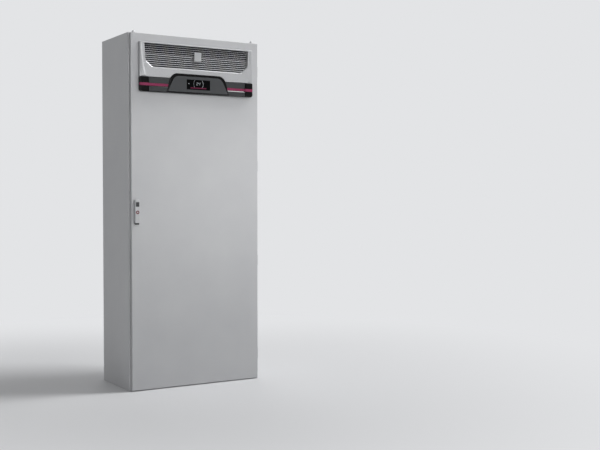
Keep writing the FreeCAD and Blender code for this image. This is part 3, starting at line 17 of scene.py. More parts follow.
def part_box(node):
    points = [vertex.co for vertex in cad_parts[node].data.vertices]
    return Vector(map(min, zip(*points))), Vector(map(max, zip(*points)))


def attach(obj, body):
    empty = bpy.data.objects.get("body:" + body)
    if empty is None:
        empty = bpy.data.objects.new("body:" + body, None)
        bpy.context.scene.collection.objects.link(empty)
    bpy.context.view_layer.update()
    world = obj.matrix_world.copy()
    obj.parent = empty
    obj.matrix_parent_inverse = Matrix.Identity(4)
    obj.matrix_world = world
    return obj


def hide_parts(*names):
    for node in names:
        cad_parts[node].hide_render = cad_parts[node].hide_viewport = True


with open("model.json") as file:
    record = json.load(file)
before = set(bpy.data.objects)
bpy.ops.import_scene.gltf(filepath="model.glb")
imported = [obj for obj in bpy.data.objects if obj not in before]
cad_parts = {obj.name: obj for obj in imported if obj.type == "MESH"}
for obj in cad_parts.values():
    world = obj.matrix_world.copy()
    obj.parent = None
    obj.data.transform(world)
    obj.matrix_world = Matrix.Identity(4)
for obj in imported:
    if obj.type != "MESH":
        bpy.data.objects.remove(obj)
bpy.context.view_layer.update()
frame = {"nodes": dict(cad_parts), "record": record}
MM = 0.001
TURN = 2 * np.pi

# %% [markdown]
# Colours are written as the hex values that a paint chart or a picture program shows. Those are
# sRGB; the renderer works in linear light, so one function converts them.
# A material is a small tree of nodes. One helper adds a node, sets its values and links it, which
# keeps each finish readable as a list of steps.

# %% Colour and node helpers


def linear(code):
    """sRGB hex to linear RGBA: below 0.04045 divide by 12.92, else ((c + 0.055) / 1.055) ** 2.4."""
    value = np.array([int(code[place:place + 2], 16) for place in (1, 3, 5)]) / 255
    bent = np.where(value <= 0.04045, value / 12.92, ((value + 0.055) / 1.055) ** 2.4)
    return (*bent.tolist(), 1.0)


def add_node(tree, kind, settings=None, links=None, into=None):
    """Adds a node; settings go to its ramp, its sockets or its own options, links name the source
    sockets, and its first output goes into a socket."""
    node = tree.nodes.new(kind)
    for name, value in (settings or {}).items():
        if name == "stops":
            for stop, (place, colour) in zip(node.color_ramp.elements, value):
                stop.position = place
                stop.color = colour
        elif name in node.inputs:
            node.inputs[name].default_value = value
        else:
            setattr(node, name, value)
    for name, source in (links or {}).items():
        tree.links.new(source, node.inputs[name])
    if into:
        tree.links.new(node.outputs[0], into)
    return node


def start_finish(name, settings):
    """A new material: its tree, its shader with settings, and a place output in object space."""
    finish = bpy.data.materials.new(name)
    finish.use_nodes = True
    tree = finish.node_tree
    tree.nodes.clear()
    shader = add_node(tree, "ShaderNodeBsdfPrincipled", settings)
    add_node(tree, "ShaderNodeOutputMaterial", links={"Surface": shader.outputs["BSDF"]})
    place = add_node(tree, "ShaderNodeTexCoord").outputs["Object"]
    return finish, tree, shader, place


def per_metre(size_mm):
    """Texture scale for a feature of this size: how many fit in a metre."""
    return 1000 / size_mm


def tones(code, low, high, start=0.0, end=1.0):
    """Two stops: the colour times low at start, and the colour times high, at most one, at end."""
    colour = np.array(linear(code))
    return [(start, colour * (*low, 1)), (end, np.minimum(colour * (*high, 1), 1))]


print("mid grey is", linear("#808080"))

# %% [markdown]
# Light grey textured powder coat covers the panels and the door. The powder melts to a fine
# orange peel: a satin surface with soft highlights and no metal flake. The real peel is about
# 0.5 mm wide, too fine for this view, so it is drawn 4 mm wide. A much wider noise moves the
# colour by up to three percent, as the film thickness does.

# %% Powder coat
FILM_MM = 240


def powder_coat(name, code, peel_mm=4.0, roughness=0.42):
    """Satin paint: a broad noise moves the tone from 0.97 to 1.03, a fine noise is the bump height."""
    finish, tree, shader, place = start_finish(name, {"Roughness": roughness, "IOR": 1.5})
    noise = {"Scale": per_metre(FILM_MM), "Detail": 3.0}
    film = add_node(tree, "ShaderNodeTexNoise", noise, {"Vector": place}).outputs["Fac"]
    stops = tones(code, (0.97, 0.97, 0.975), (1.03, 1.03, 1.025), 0.3, 0.7)
    add_node(tree, "ShaderNodeValToRGB", {"stops": stops}, {"Fac": film}, shader.inputs["Base Color"])
    noise = {"Scale": per_metre(peel_mm), "Detail": 2.0}
    peel = add_node(tree, "ShaderNodeTexNoise", noise, {"Vector": place}).outputs["Fac"]
    relief = {"Strength": 0.12, "Distance": 0.0004}
    add_node(tree, "ShaderNodeBump", relief, {"Height": peel}, shader.inputs["Normal"])
    return finish


finishes = {
    "powder_coat": powder_coat("textured_powder_coat", "#BDBEC0"),
    "frame_paint": powder_coat("dip_coated_frame", "#BBBCBE", 6.0, 0.5),
    "black_sheet": powder_coat("black_stove_enamel", "#1C1C1E", 5.0, 0.34),
    "handle_grey": powder_coat("grey_die_casting", "#B9BABC", 3.0, 0.36),
}
print("painted:", ", ".join(finishes))

# %% [markdown]
# Zinc-plated sheet is a bare metal: fully metallic, bluish grey, with faint crystal patches. Each
# patch reflects a little differently, so a cell pattern about 14 mm wide moves its roughness and
# its tone. Bright zinc on screws and hinges has the same colour with a finer, smoother grain.

# %% Zinc
SCUFF_MM = 3


def zinc(name, code, patch_mm, roughness):
    """Bare zinc: the value of each cell moves its roughness by about 0.06 and its tone by a tenth."""
    finish, tree, shader, place = start_finish(name, {"Metallic": 1.0})
    cells = add_node(tree, "ShaderNodeTexVoronoi", {"Scale": per_metre(patch_mm)}, {"Vector": place})
    patch = cells.outputs["Color"]
    limits = {"To Min": roughness - 0.05, "To Max": roughness + 0.07}
    add_node(tree, "ShaderNodeMapRange", limits, {"Value": patch}, shader.inputs["Roughness"])
    stops = tones(code, (0.9, 0.91, 0.93), (1.06, 1.06, 1.05))
    add_node(tree, "ShaderNodeValToRGB", {"stops": stops}, {"Fac": patch}, shader.inputs["Base Color"])
    noise = {"Scale": per_metre(SCUFF_MM), "Detail": 3.0}
    scuff = add_node(tree, "ShaderNodeTexNoise", noise, {"Vector": place}).outputs["Fac"]
    relief = {"Strength": 0.06, "Distance": 0.0003}
    add_node(tree, "ShaderNodeBump", relief, {"Height": scuff}, shader.inputs["Normal"])
    return finish


finishes["zinc_sheet"] = zinc("zinc_plated_sheet", "#ADB1B4", 14.0, 0.48)
finishes["zinc_steel"] = zinc("bright_zinc", "#B4B6B8", 3.0, 0.36)
print(len(finishes), "finishes with the zinc")

# %% [markdown]
# Moulded plastic comes out of a steel mould, so it copies the mould's surface: spark-eroded grain
# on the matt parts, polish on the glossy ones. The same function makes both. Grain width, grain
# depth and roughness tell them apart. The silver fascia has aluminium flake in its paint, so part
# of its light comes back as from a metal.

# %% Moulded plastic


def moulded(name, code, roughness, grain_mm, depth=0.1, shine=0.5, metallic=0.0, spread=0.05):
    """Plastic: one noise moves the roughness, from half a spread below to a spread above, and the
    tone by 0.02, and is the bump height."""
    settings = {"IOR": 1.53, "Specular IOR Level": shine, "Metallic": metallic}
    finish, tree, shader, place = start_finish(name, settings)
    noise = {"Scale": per_metre(grain_mm), "Detail": 4.0}
    grain = add_node(tree, "ShaderNodeTexNoise", noise, {"Vector": place}).outputs["Fac"]
    limits = {"To Min": roughness - spread / 2, "To Max": roughness + spread}
    limits.update({"From Min": 0.3, "From Max": 0.7})
    add_node(tree, "ShaderNodeMapRange", limits, {"Value": grain}, shader.inputs["Roughness"])
    stops = tones(code, (0.98, 0.98, 0.98), (1.02, 1.02, 1.02), 0.35, 0.65)
    add_node(tree, "ShaderNodeValToRGB", {"stops": stops}, {"Fac": grain}, shader.inputs["Base Color"])
    relief = {"Strength": depth, "Distance": 0.0004}
    add_node(tree, "ShaderNodeBump", relief, {"Height": grain}, shader.inputs["Normal"])
    return finish


finishes.update({
    "black_plastic": moulded("moulded_polyamide", "#1C1C1E", 0.5, 1.5, 0.15, 0.35),
    "lock_red": moulded("dark_red_moulding", "#66101E", 0.3, 3.0, 0.03, 0.4),
    "fascia_silver": moulded("silver_satin_abs", "#AAABAD", 0.28, 1.2, 0.02, 0.5, 0.25, 0.02),
    "band_grey": moulded("grained_dark_abs", "#3A3C3E", 0.5, 1.6, 0.14, 0.25),
    "gloss_black": moulded("polished_black_abs", "#070708", 0.12, 6.0, 0.015, 0.12),
    "magenta": moulded("magenta_inlay", "#831648", 0.28, 4.0, 0.02, 0.28),
})
print(len(finishes), "finishes with the plastics")

# %% [markdown]
# Foam and fleece have no shine at all: light sinks between the cells or fibres. A rough shader
# with a strong, small pattern gives that. Fins and copper are metals with lines drawn along them
# by the press and the drawing die, so their noise is stretched.

# %% Foam, fleece and drawn metal


def foam(name, code, cell_mm, depth):
    """Cells: the distance from a cell's middle moves the tone from 0.75 to 1.25 and is the height."""
    finish, tree, shader, place = start_finish(name, {"Roughness": 0.92, "Specular IOR Level": 0.2})
    cells = add_node(tree, "ShaderNodeTexVoronoi", {"Scale": per_metre(cell_mm)}, {"Vector": place})
    wall = cells.outputs["Distance"]
    stops = tones(code, (0.75, 0.75, 0.75), (1.25, 1.25, 1.25))
    add_node(tree, "ShaderNodeValToRGB", {"stops": stops}, {"Fac": wall}, shader.inputs["Base Color"])
    relief = {"Strength": depth, "Distance": 0.001}
    add_node(tree, "ShaderNodeBump", relief, {"Height": wall}, shader.inputs["Normal"])
    return finish


def drawn_metal(name, code, roughness, line_mm, stretch):
    """Noise at a place times stretch, so lines run along the axis with the small factor; it moves
    roughness and tone."""
    finish, tree, shader, place = start_finish(name, {"Metallic": 1.0})
    drawn = add_node(tree, "ShaderNodeMapping", {"Scale": stretch}, {"Vector": place}).outputs["Vector"]
    noise = {"Scale": per_metre(line_mm), "Detail": 3.0}
    lines = add_node(tree, "ShaderNodeTexNoise", noise, {"Vector": drawn}).outputs["Fac"]
    limits = {"To Min": roughness - 0.08, "To Max": roughness + 0.1}
    add_node(tree, "ShaderNodeMapRange", limits, {"Value": lines}, shader.inputs["Roughness"])
    stops = tones(code, (0.82, 0.8, 0.78), (1.05, 1.05, 1.05), 0.3, 0.7)
    add_node(tree, "ShaderNodeValToRGB", {"stops": stops}, {"Fac": lines}, shader.inputs["Base Color"])
    return finish


finishes.update({
    "seal_foam": foam("foamed_seal", "#2A2A2B", 1.6, 0.5),
    "fleece": foam("filter_fleece", "#242526", 2.2, 0.9),
    "fin_aluminium": drawn_metal("fin_stock_aluminium", "#CDD0D2", 0.34, 4.0, (1.0, 1.0, 0.05)),
    "copper": drawn_metal("drawn_copper", "#C47A52", 0.28, 9.0, (1.0, 1.0, 0.35)),
})
print(len(finishes), "finishes with foam and drawn metal")

# %% [markdown]
# The record names a slot for every node of the frame, and each solid takes the finish of its slot.
# New pieces take theirs from the same table, apart from a few that have a tone of their own.

# %% Finishes on the frame
for piece in frame["record"]["subparts"]:
    shown = frame["nodes"][piece["node"]]
    shown.data.materials.clear()
    shown.data.materials.append(finishes[piece["material_slot"]])
print("finishes on", len(frame["nodes"]), "nodes")

# %% [markdown]
# Folded sheet and machined parts never have knife edges. The model's own solids stay as they are,
# and three modifiers soften them: Weld joins the loose triangles, Decimate takes out the edges
# inside flat faces, and Bevel rounds what is left by 0.4 to 1.6 mm.

# %% Soften the solids that stay


def soften(node, radius_mm):
    """Joins points nearer than 0.01 mm, clears edges flatter than 1 degree, rounds those over 40."""
    shown = frame["nodes"][node]
    weld = shown.modifiers.new("weld", "WELD")
    weld.merge_threshold = 0.01 * MM
    flat = shown.modifiers.new("flat", "DECIMATE")
    flat.decimate_type = "DISSOLVE"
    flat.angle_limit = np.radians(1.0)
    bevel = shown.modifiers.new("edge", "BEVEL")
    bevel.width = radius_mm * MM
    bevel.segments = 2
    bevel.limit_method = "ANGLE"
    bevel.angle_limit = np.radians(40)


edge_radius = {
    "rear_panel": 1.2, "roof_plate": 1.6, "roof_vent_grille": 0.4, "mounting_plate": 0.8, "floor_plates": 0.6,
    "cooler_housing": 0.6, "cooler_support_rails": 1.0, "top_rails": 1.6, "base_rails": 1.6,
    "exhaust_duct": 0.4, "intake_collar": 0.6, "condensate_tray": 0.4, "control_box": 1.0, "rod_guides": 1.0,
    "lock_rod_upper": 0.5, "lock_rod_lower": 0.5, "cooler_partition": 0.4,
    "side_panel_left": 1.6, "side_panel_right": 1.6,
}
for node, radius in edge_radius.items():
    soften(node, radius)
print(len(edge_radius), "solids softened")

# %% [markdown]
# New pieces are surfaces worked out as whole arrays. A shape is a grid of points: rows along one
# direction, columns along the other, and a face between each four neighbours. Joining the last
# column to the first closes a ring, and one face over the first and last row closes the ends.

# %% From arrays to pieces


def skin(points, ring=True, loop=False, lids=True):
    """Faces over a grid (rows, columns, 3), each from a point to its neighbours in the next row and
    column; ring joins the columns' ends, loop the rows' ends."""
    rows, columns = points.shape[:2]
    index = np.arange(rows * columns).reshape(rows, columns)
    ends = [index[0], index[-1]] if lids and not loop else []
    index = np.vstack([index, index[:1]]) if loop else index
    index = np.hstack([index, index[:, :1]]) if ring else index
    corners = [index[:-1, :-1], index[:-1, 1:], index[1:, 1:], index[1:, :-1]]
    return points.reshape(-1, 3), np.stack(corners, -1).reshape(-1, 4), ends


def box_mm(node):
    """Lowest and highest corner of a solid of the frame, in millimetres."""
    return [np.array(corner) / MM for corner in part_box(node)]


def add_piece(name, shells, body, slot, replaces=(), finish=None, wall=0.0, crease=35.0):
    """One mesh from shells in mm: doubles merged, faces outwards, smooth up to the crease angle."""
    starts = np.cumsum([0] + [len(points) for points, quads, lids in shells])
    places = np.concatenate([points for points, quads, lids in shells]) * MM
    faces = []
    for start, (points, quads, lids) in zip(starts, shells):
        faces += (quads + start).tolist()
    for start, (points, quads, lids) in zip(starts, shells):
        faces += [(lid + start).tolist() for lid in lids]
    mesh = bpy.data.meshes.new(name)
    mesh.from_pydata(places, [], faces)
    work = bmesh.new()
    work.from_mesh(mesh)
    bmesh.ops.remove_doubles(work, verts=work.verts, dist=0.001 * MM)
    bmesh.ops.recalc_face_normals(work, faces=work.faces)
    work.to_mesh(mesh)
    work.free()
    mesh.shade_smooth()
    mesh.set_sharp_from_angle(angle=np.radians(crease))
    mesh.materials.append(finish or finishes[slot])
    shown = bpy.data.objects.new(name, mesh)
    bpy.context.scene.collection.objects.link(shown)
    if wall:
        sheet = shown.modifiers.new("sheet", "SOLIDIFY")
        sheet.thickness = wall * MM
        sheet.offset = -1
    else:
        shown.modifiers.new("flat faces", "WEIGHTED_NORMAL").keep_sharp = True
    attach(shown, body)
    if replaces:
        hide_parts(*replaces)
    print(name, len(mesh.polygons), "faces on", body)


# %% [markdown]
# Most moulded parts here are plates: an outline seen from the front, carried back to the door,
# with its front edge rounded. The outline's corners are arcs. Moving the outline inwards by the
# rounding while it comes forward draws the edge.

# %% Outlines


def rounded(corners, radius, steps=7):
    """A closed polygon with an arc at each corner that touches both of its sides: the arc's middle
    lies on the bisector, radius over the sine of half the angle away."""
    corners = np.array(corners, float)
    radius = np.broadcast_to(np.array(radius, float), len(corners))[:, None]
    back = np.roll(corners, 1, 0) - corners
    ahead = np.roll(corners, -1, 0) - corners
    back /= np.linalg.norm(back, axis=1, keepdims=True)
    ahead /= np.linalg.norm(ahead, axis=1, keepdims=True)
    half = np.arccos(np.clip((back * ahead).sum(1, keepdims=True), -1, 1)) / 2
    bisector = (back + ahead) / np.linalg.norm(back + ahead, axis=1, keepdims=True)
    middle = corners + bisector * radius / np.sin(half)
    first = corners + back * radius / np.tan(half) - middle
    last = corners + ahead * radius / np.tan(half) - middle
    sweep = np.pi - 2 * half[:, :, None]
    share = np.linspace(0, 1, steps)[None, :, None]
    arc = np.sin((1 - share) * sweep) * first[:, None] + np.sin(share * sweep) * last[:, None]
    return (middle[:, None] + arc / np.sin(sweep)).reshape(-1, 2)


def inset(outline, distance):
    """A counter-clockwise outline moved inwards by each distance times the mitre at each point: the
    sum of the two sides' normals over one plus their product."""
    ahead = np.roll(outline, -1, 0) - outline
    ahead /= np.linalg.norm(ahead, axis=1, keepdims=True) + 1e-12
    inward = np.stack([-ahead[:, 1], ahead[:, 0]], 1)
    before = np.roll(inward, 1, 0)
    mitre = (inward + before) / (1 + (inward * before).sum(1, keepdims=True))
    return outline[None] + np.asarray(distance, float)[:, None, None] * mitre[None]


def rectangle(left, right, low, high):
    """Four corners, counter-clockwise from the lower left one."""
    return [(left, low), (right, low), (right, high), (left, high)]


print("points of a rounded square:", len(rounded(rectangle(0, 1, 0, 1), 0.1)))

# %% [markdown]
# Three ways to carry a line through space make nearly all pieces: a plate carries an outline from the
# door to the front and rounds its edge, a bar carries a section along x, and a turned shape spins a
# profile round an axis, as on a lathe.

# %% Plates, bars and turned shapes


def edge_round(radius, steps=6):
    """A quarter circle from wall to face: inset is radius times one minus cosine, and depth behind
    the face is radius times one minus sine."""
    turn = np.linspace(0, np.pi / 2, steps)
    return radius * (1 - np.cos(turn)), radius * (1 - np.sin(turn))


def standing(outlines, depth):
    """Outlines in x and z, one per row, set up at these depths in y."""
    depth = np.broadcast_to(np.asarray(depth, float)[:, None], outlines.shape[:2])
    return np.dstack([outlines[..., 0], depth, outlines[..., 1]])


def plate(outline, back, front, edge):
    """An outline carried from back to front with a rounded front edge; front is the smaller y."""
    moved, behind = edge_round(edge)
    rows = inset(outline, np.concatenate([[0], moved]))
    return skin(standing(rows, np.concatenate([[back], front + behind])))


def bar(section, left, right):
    """A closed section in y and z carried along x; left and right may follow each point."""
    ends = [np.broadcast_to(np.asarray(place, float), len(section)) for place in (left, right)]
    return skin(np.stack([np.column_stack([place, section]) for place in ends]))


def turned(profile, middle, axis="y", sides=40, loop=False):
    """A profile of radius and height spun round an axis through middle: across is radius times
    cosine, up is radius times sine; a lid closes each end, or loop joins the profile's ends."""
    profile = np.array(profile, float)
    angle = np.linspace(0, TURN, sides, endpoint=False)
    across = profile[:, :1] * np.cos(angle)
    up = profile[:, :1] * np.sin(angle)
    along = np.broadcast_to(profile[:, 1:], across.shape)
    order = {"x": (along, across, up), "y": (across, along, up), "z": (across, up, along)}[axis]
    return skin(np.dstack(order) + np.asarray(middle, float), loop=loop)


print("shapes: plate, bar, turned")

# %% [markdown]
# The air inlet is a wide trapezium with cut lower corners, all rounded. A bevel runs round its lower
# half and fades towards the top, where the brow shades it. Its outline is the inlet's, moved outwards.

# %% Inlet and bevel
fascia_low, fascia_high = box_mm("fascia_shell")
louvre_low, louvre_high = box_mm("louvre_grille")
door_front, fascia_front = fascia_high[1], fascia_low[1]
half_fascia, band_top, fascia_top = fascia_high[0], fascia_low[2], fascia_high[2]
INLET_GAP, INLET_TAPER, CORNER_WIDE, CORNER_TALL = 0.3, 6.0, 41.0, 35.0
LIP_WIDE, LIP_DEEP, LIP_LEAST = 7.0, 3.2, 0.25
inlet_half = louvre_high[0] + INLET_GAP
inlet_top, inlet_foot = louvre_high[2] + INLET_GAP, louvre_low[2] - INLET_GAP
shoulder = inlet_half - INLET_TAPER
inlet_corners = [
    (CORNER_WIDE - shoulder, inlet_foot), (shoulder - CORNER_WIDE, inlet_foot),
    (shoulder, inlet_foot + CORNER_TALL), (inlet_half, inlet_top),
    (-inlet_half, inlet_top), (-shoulder, inlet_foot + CORNER_TALL),
]
FOOT_ROUND, SIDE_ROUND, TOP_ROUND = 22, 26, 5
inlet_radii = [FOOT_ROUND, FOOT_ROUND, SIDE_ROUND, TOP_ROUND, TOP_ROUND, SIDE_ROUND]
inlet_outline = rounded(inlet_corners, inlet_radii)


def lip_share(height):
    """How far the inlet's bevel is drawn: the way down from the top over the height above the
    corners, held between a quarter and one."""
    return np.clip((inlet_top - height) / (inlet_top - inlet_foot - CORNER_TALL), LIP_LEAST, 1)


bevel_outline = inset(inlet_outline, [-LIP_WIDE])[0] - inlet_outline
bevel_outline = inlet_outline + bevel_outline * lip_share(inlet_outline[:, 1:])
print("inlet", round(2 * inlet_half), "by", round(inlet_top - inlet_foot), "mm")

# %% [markdown]
# Seen from the middle of the inlet, each outline of the fascia is met once in every direction. Two
# helpers rest on that: one finds how far away a ray meets an outline, and the other rounds the corner
# between three loops that share their rays.

# %% Rays and round corners
eye = np.array([0.0, (inlet_top + inlet_foot) / 2])
HALF_WAY = 0.48


def radius_at(outline, centre, angles):
    """Distance from the centre to an outline along each ray: start cross side over ray cross side."""
    arm = outline - centre
    bearing = np.arctan2(arm[:, 1], arm[:, 0]) % TURN
    order = np.argsort(bearing)
    arm, bearing = arm[order], bearing[order]
    after = np.searchsorted(bearing, angles, side="right") % len(arm)
    side = arm[after] - arm[after - 1]
    start = arm[after - 1]
    reach = start[:, 0] * side[:, 1] - start[:, 1] * side[:, 0]
    return reach / (np.cos(angles) * side[:, 1] - np.sin(angles) * side[:, 0])


def bent(start, corner, end, radius, steps=6):
    """A round corner between three loops: a quadratic curve, with the corner as its middle point,
    that starts and ends radius away from it, or about half way where that is nearer."""
    share = np.linspace(0, 1, steps)[:, None, None]
    toward, onward = start - corner, end - corner
    first = corner + toward * np.minimum(radius / np.linalg.norm(toward, axis=1, keepdims=True), HALF_WAY)
    last = corner + onward * np.minimum(radius / np.linalg.norm(onward, axis=1, keepdims=True), HALF_WAY)
    return (1 - share) ** 2 * first + 2 * share * (1 - share) * corner + share**2 * last


print("inlet's side, from its middle:", radius_at(inlet_outline, eye, np.zeros(1)).round(1), "mm")

# %% [markdown]
# The fascia is one moulding round the inlet. Its back is a rectangle on the door. Its front follows
# the sides down to half height and then draws in with a wide curve, so that a flank opens towards the
# foot. All its rims are rounded and catch the light as bright lines. The surface is a grid of
# direction against steps from the door, over the outer rim, across the face, over the bevel and
# down into the inlet.

# %% Fascia shell
FLANK_TOP, FLANK_FOOT, FLANK_BEND, BEND_RADIUS = 5.0, 34.0, 72.0, 420.0
LEAN_FROM, LEAN_TOP, WALL_SHARE, RIM_RADIUS = 95.0, 2.0, 0.7, 3.0
BROW_ROUND, FACE_ROUND, LIP_ROUND = 2.5, 8.0, 1.2


def face_depth(height):
    """y of the fascia's face: the front plane below, then back in proportion to the height."""
    lean = np.clip((height - (fascia_top - LEAN_FROM)) / LEAN_FROM, 0, 1)
    return fascia_front + LEAN_TOP * lean


back_outline = rounded(rectangle(-half_fascia, half_fascia, band_top, fascia_top), RIM_RADIUS)
foot_half, head_half = half_fascia - FLANK_FOOT, half_fascia - FLANK_TOP
bend_z, head_z = fascia_top - FLANK_BEND, fascia_top - RIM_RADIUS
front_corners = [
    (-foot_half, band_top), (foot_half, band_top), (head_half, bend_z),
    (head_half, head_z), (-head_half, head_z), (-head_half, bend_z),
]
front_radii = [RIM_RADIUS, RIM_RADIUS, BEND_RADIUS] * 2
front_outline = rounded(front_corners, front_radii, 11)
outlines = [back_outline, front_outline, bevel_outline, inlet_outline]
bearings = [np.arctan2(*(line - eye).T[::-1]) % TURN for line in outlines]
bearings.append(np.linspace(0, TURN, 240, endpoint=False))
angles = np.unique(np.round(np.concatenate(bearings), 5))
rays = np.stack([np.cos(angles), np.sin(angles)], 1)
loops = []
for line in outlines:
    spot = eye + rays * radius_at(line, eye, angles)[:, None]
    loops.append(np.column_stack([spot[:, 0], face_depth(spot[:, 1]), spot[:, 1]]))
on_door = loops[0] * (1, 0, 1) + (0, door_front, 0)
rim, bevel, mouth = loops[1:]
mouth[:, 1] += LIP_DEEP * lip_share(mouth[:, 2])
brow = on_door + (loops[0] - on_door) * (0, WALL_SHARE, 0)
deep = mouth * (1, 0, 1) + (0, louvre_high[1], 0)
fascia_rows = np.concatenate([
    on_door[None], bent(on_door, brow, rim, BROW_ROUND), bent(brow, rim, bevel, FACE_ROUND),
    bent(rim, bevel, mouth, LIP_ROUND), bent(bevel, mouth, deep, LIP_ROUND), deep[None],
])
moulding = skin(fascia_rows, loop=True)
add_piece("fascia_moulding", [moulding], "door", "fascia_silver", ["fascia_shell"], crease=50)

# %% [markdown]
# The louvres are sloping blades with rounded noses, lower in front than behind, so that rain and
# splashes run off. Each is one section carried across the inlet. Its ends follow the inlet's
# outline, read as a width for each height. The upper blades are slimmer and stand further back
# under the brow, in its shade. Their lacquer is duller than the fascia's, so they show soft lines and
# no glitter.

# %% Louvres
BLADES, BLADE_THICK, BLADE_RISE, BLADE_FIRST, BLADE_PITCH = 11, 2.4, 5.0, 6.7, 11.2
THIN_FROM, THICK_NOSE, THIN_NOSE, THIN_BACK, SLOPE = 6, 3.7, 2.0, 3.6, 0.7
NOSE_LOW, NOSE_HIGH, TAIL_ROUND, TOP_GAP = 0.3, 0.4, 0.3, 0.2
right_side = inlet_outline[inlet_outline[:, 0] > 0]
right_side = right_side[np.argsort(right_side[:, 1])]
blades = []
for place in range(BLADES):
    foot = inlet_foot + BLADE_FIRST + place * BLADE_PITCH
    thick, back = (THIN_NOSE, THIN_BACK) if place >= THIN_FROM else (THICK_NOSE, 0)
    nose, tail, high = louvre_low[1] + back, louvre_high[1], foot + BLADE_RISE - back * SLOPE
    corners = [(nose, foot), (tail, high), (tail, high + BLADE_THICK), (nose, foot + thick)]
    section = rounded(corners, [thick * NOSE_LOW, TAIL_ROUND, TAIL_ROUND, thick * NOSE_HIGH], 5)
    section[:, 1] = np.minimum(section[:, 1], inlet_top - TOP_GAP)
    reach = np.interp(section[:, 1], right_side[:, 1], right_side[:, 0])
    blades.append(bar(section, -reach, reach))
blade_tone = moulded("satin_blade_abs", "#AEAFB1", 0.46, 1.2, 0.02, 0.35, 0.1, 0.02)
add_piece("inlet_louvres", blades, "door", "fascia_silver", ["louvre_grille"], blade_tone, crease=60)

# %% [markdown]
# Behind the louvres hangs a pleated filter mat: its front is a cosine wave across x. A small badge
# sits in front of them, two plates on each other, and stays bare.

# %% Filter mat and bare badge
mat_low, mat_high = box_mm("filter_mat")
PLEAT_PITCH, PLEAT_DEEP, MAT_SIDE, MAT_END, MAT_SKIN = 13.0, 2.2, 0.6, 0.2, 0.1
mat_z = np.linspace(mat_low[2] + MAT_END, mat_high[2] - MAT_END, 30)[:, None]
mat_half = np.interp(mat_z, right_side[:, 1], right_side[:, 0]) - MAT_SIDE
mat_x = mat_half * np.linspace(-1, 1, 301)
mat_wave = mat_low[1] + PLEAT_DEEP / 2 * (1 - np.cos(TURN * mat_x / PLEAT_PITCH)) + MAT_SKIN
mat_front = np.dstack([mat_x, mat_wave, np.broadcast_to(mat_z, mat_x.shape)])
mat_back = mat_front[:, [-1, 0]] * (1, 0, 1) + (0, mat_high[1] - MAT_SKIN, 0)
add_piece("pleated_mat", [skin(np.hstack([mat_front, mat_back]))], "door", "fleece", ["filter_mat"])

badge_low, badge_high = box_mm("badge")
BADGE_STEP, BADGE_RIM, BADGE_SINK = 0.4, 3.2, 1.0
badge_outline = rounded(rectangle(badge_low[0], badge_high[0], badge_low[2], badge_high[2]), 4)
badge_plates = [
    plate(badge_outline, badge_high[1], badge_low[1] + BADGE_STEP, 1.4),
    plate(inset(badge_outline, [BADGE_RIM])[0], badge_low[1] + BADGE_SINK, badge_low[1], 0.5),
]
add_piece("bare_badge", badge_plates, "door", "fascia_silver", ["badge"])

# %% [markdown]
# Under the inlet runs a dark band with a groove. It is a section carried along x, and the groove
# belongs to the section. Below the groove the band steps forward over a polished slope, which takes a
# long highlight from a lamp above. A polished bead closes its foot.

# %% Dark band and its trims
band_low, band_high = box_mm("lower_band")
strip_low, strip_high = box_mm("accent_strips")
LIP_TALL, LIP_OUT, TRIM_HALF = 6.0, 2.4, 0.3
FOOT_TALL, FOOT_DEEP, FOOT_OUT, FOOT_DROP = 4.5, 5, 0.4, 0.2
band_front, band_foot, band_head = band_low[1], band_low[2], band_high[2]
groove_low, groove_high, groove_floor = strip_low[2], strip_high[2], strip_high[1]
lip_front, lip_top = band_front - LIP_OUT, groove_low - LIP_TALL
band_corners = [
    (door_front, band_foot), (door_front, band_head), (band_front, band_head), (band_front, groove_high),
    (groove_floor, groove_high), (groove_floor, groove_low), (lip_front, lip_top), (lip_front, band_foot),
]
band_section = rounded(band_corners, [0.4, 0.4, 5, 0.8, 0.4, 0.3, 1.0, 4], 6)
# Painted shade: the band takes a darker copy of the face plate's grained dark grey, for the shade it lies in
# under the inlet.
band_painted_shade_tone = moulded("grained_band_painted_shade", "#2C2E30", 0.5, 1.6, 0.14, 0.25)
band = bar(band_section, band_low[0], band_high[0])
add_piece("dark_band", [band], "door", "band_grey", ["lower_band"], band_painted_shade_tone)

slope_top, slope_foot = np.array([groove_floor, groove_low]), np.array([lip_front, lip_top])
slope_out = np.array([-LIP_TALL, groove_floor - lip_front])
slope_out = slope_out / np.linalg.norm(slope_out) * TRIM_HALF
slope_back = [slope_top - slope_out, slope_foot - slope_out]
slope_face = [slope_foot + slope_out, slope_top + slope_out]
slope_section = np.array(slope_back + slope_face)
foot_corners = rectangle(
    lip_front - FOOT_OUT, lip_front + FOOT_DEEP, band_foot - FOOT_DROP, band_foot + FOOT_TALL
)
foot_section = rounded(foot_corners, [2.2, 0.4, 0.4, 1.2], 5)
trims = [bar(section, band_low[0], band_high[0]) for section in (slope_section, foot_section)]
trim_tone = moulded("polished_trim_abs", "#0C0C0E", 0.12, 6.0, 0.015, 0.22)
add_piece("polished_trims", trims, "door", "gloss_black", finish=trim_tone)

# %% [markdown]
# Polished caps close the band at both ends. The coloured inlay is a slim section that lies in the
# groove. Over a cap it is a thin strip, bent round the end and run back towards the door.

# %% Caps and accent strips
cap_reach = box_mm("band_end_caps")[1][0]
STRIP_START, STRIP_GAP, CAP_OUT, CAP_EDGE = 180.0, 0.2, 2.8, 5.5
WRAP_LIFT, WRAP_RUN, WRAP_GAP, WRAP_STEPS = 0.4, 9.0, 0.5, 9
CAP_FOOT, CAP_HEAD, CAP_INNER = 14, 8, 1
cap_front, strip_back = band_front - CAP_OUT, groove_floor + STRIP_GAP
strip_corners = [
    (strip_back, groove_low + STRIP_GAP), (strip_back, groove_high - STRIP_GAP),
    (strip_low[1], groove_high - STRIP_GAP), (strip_low[1], groove_low + STRIP_GAP),
]
strip_section = rounded(strip_corners, [0.1, 0.1, 1.0, 1.0], 5)


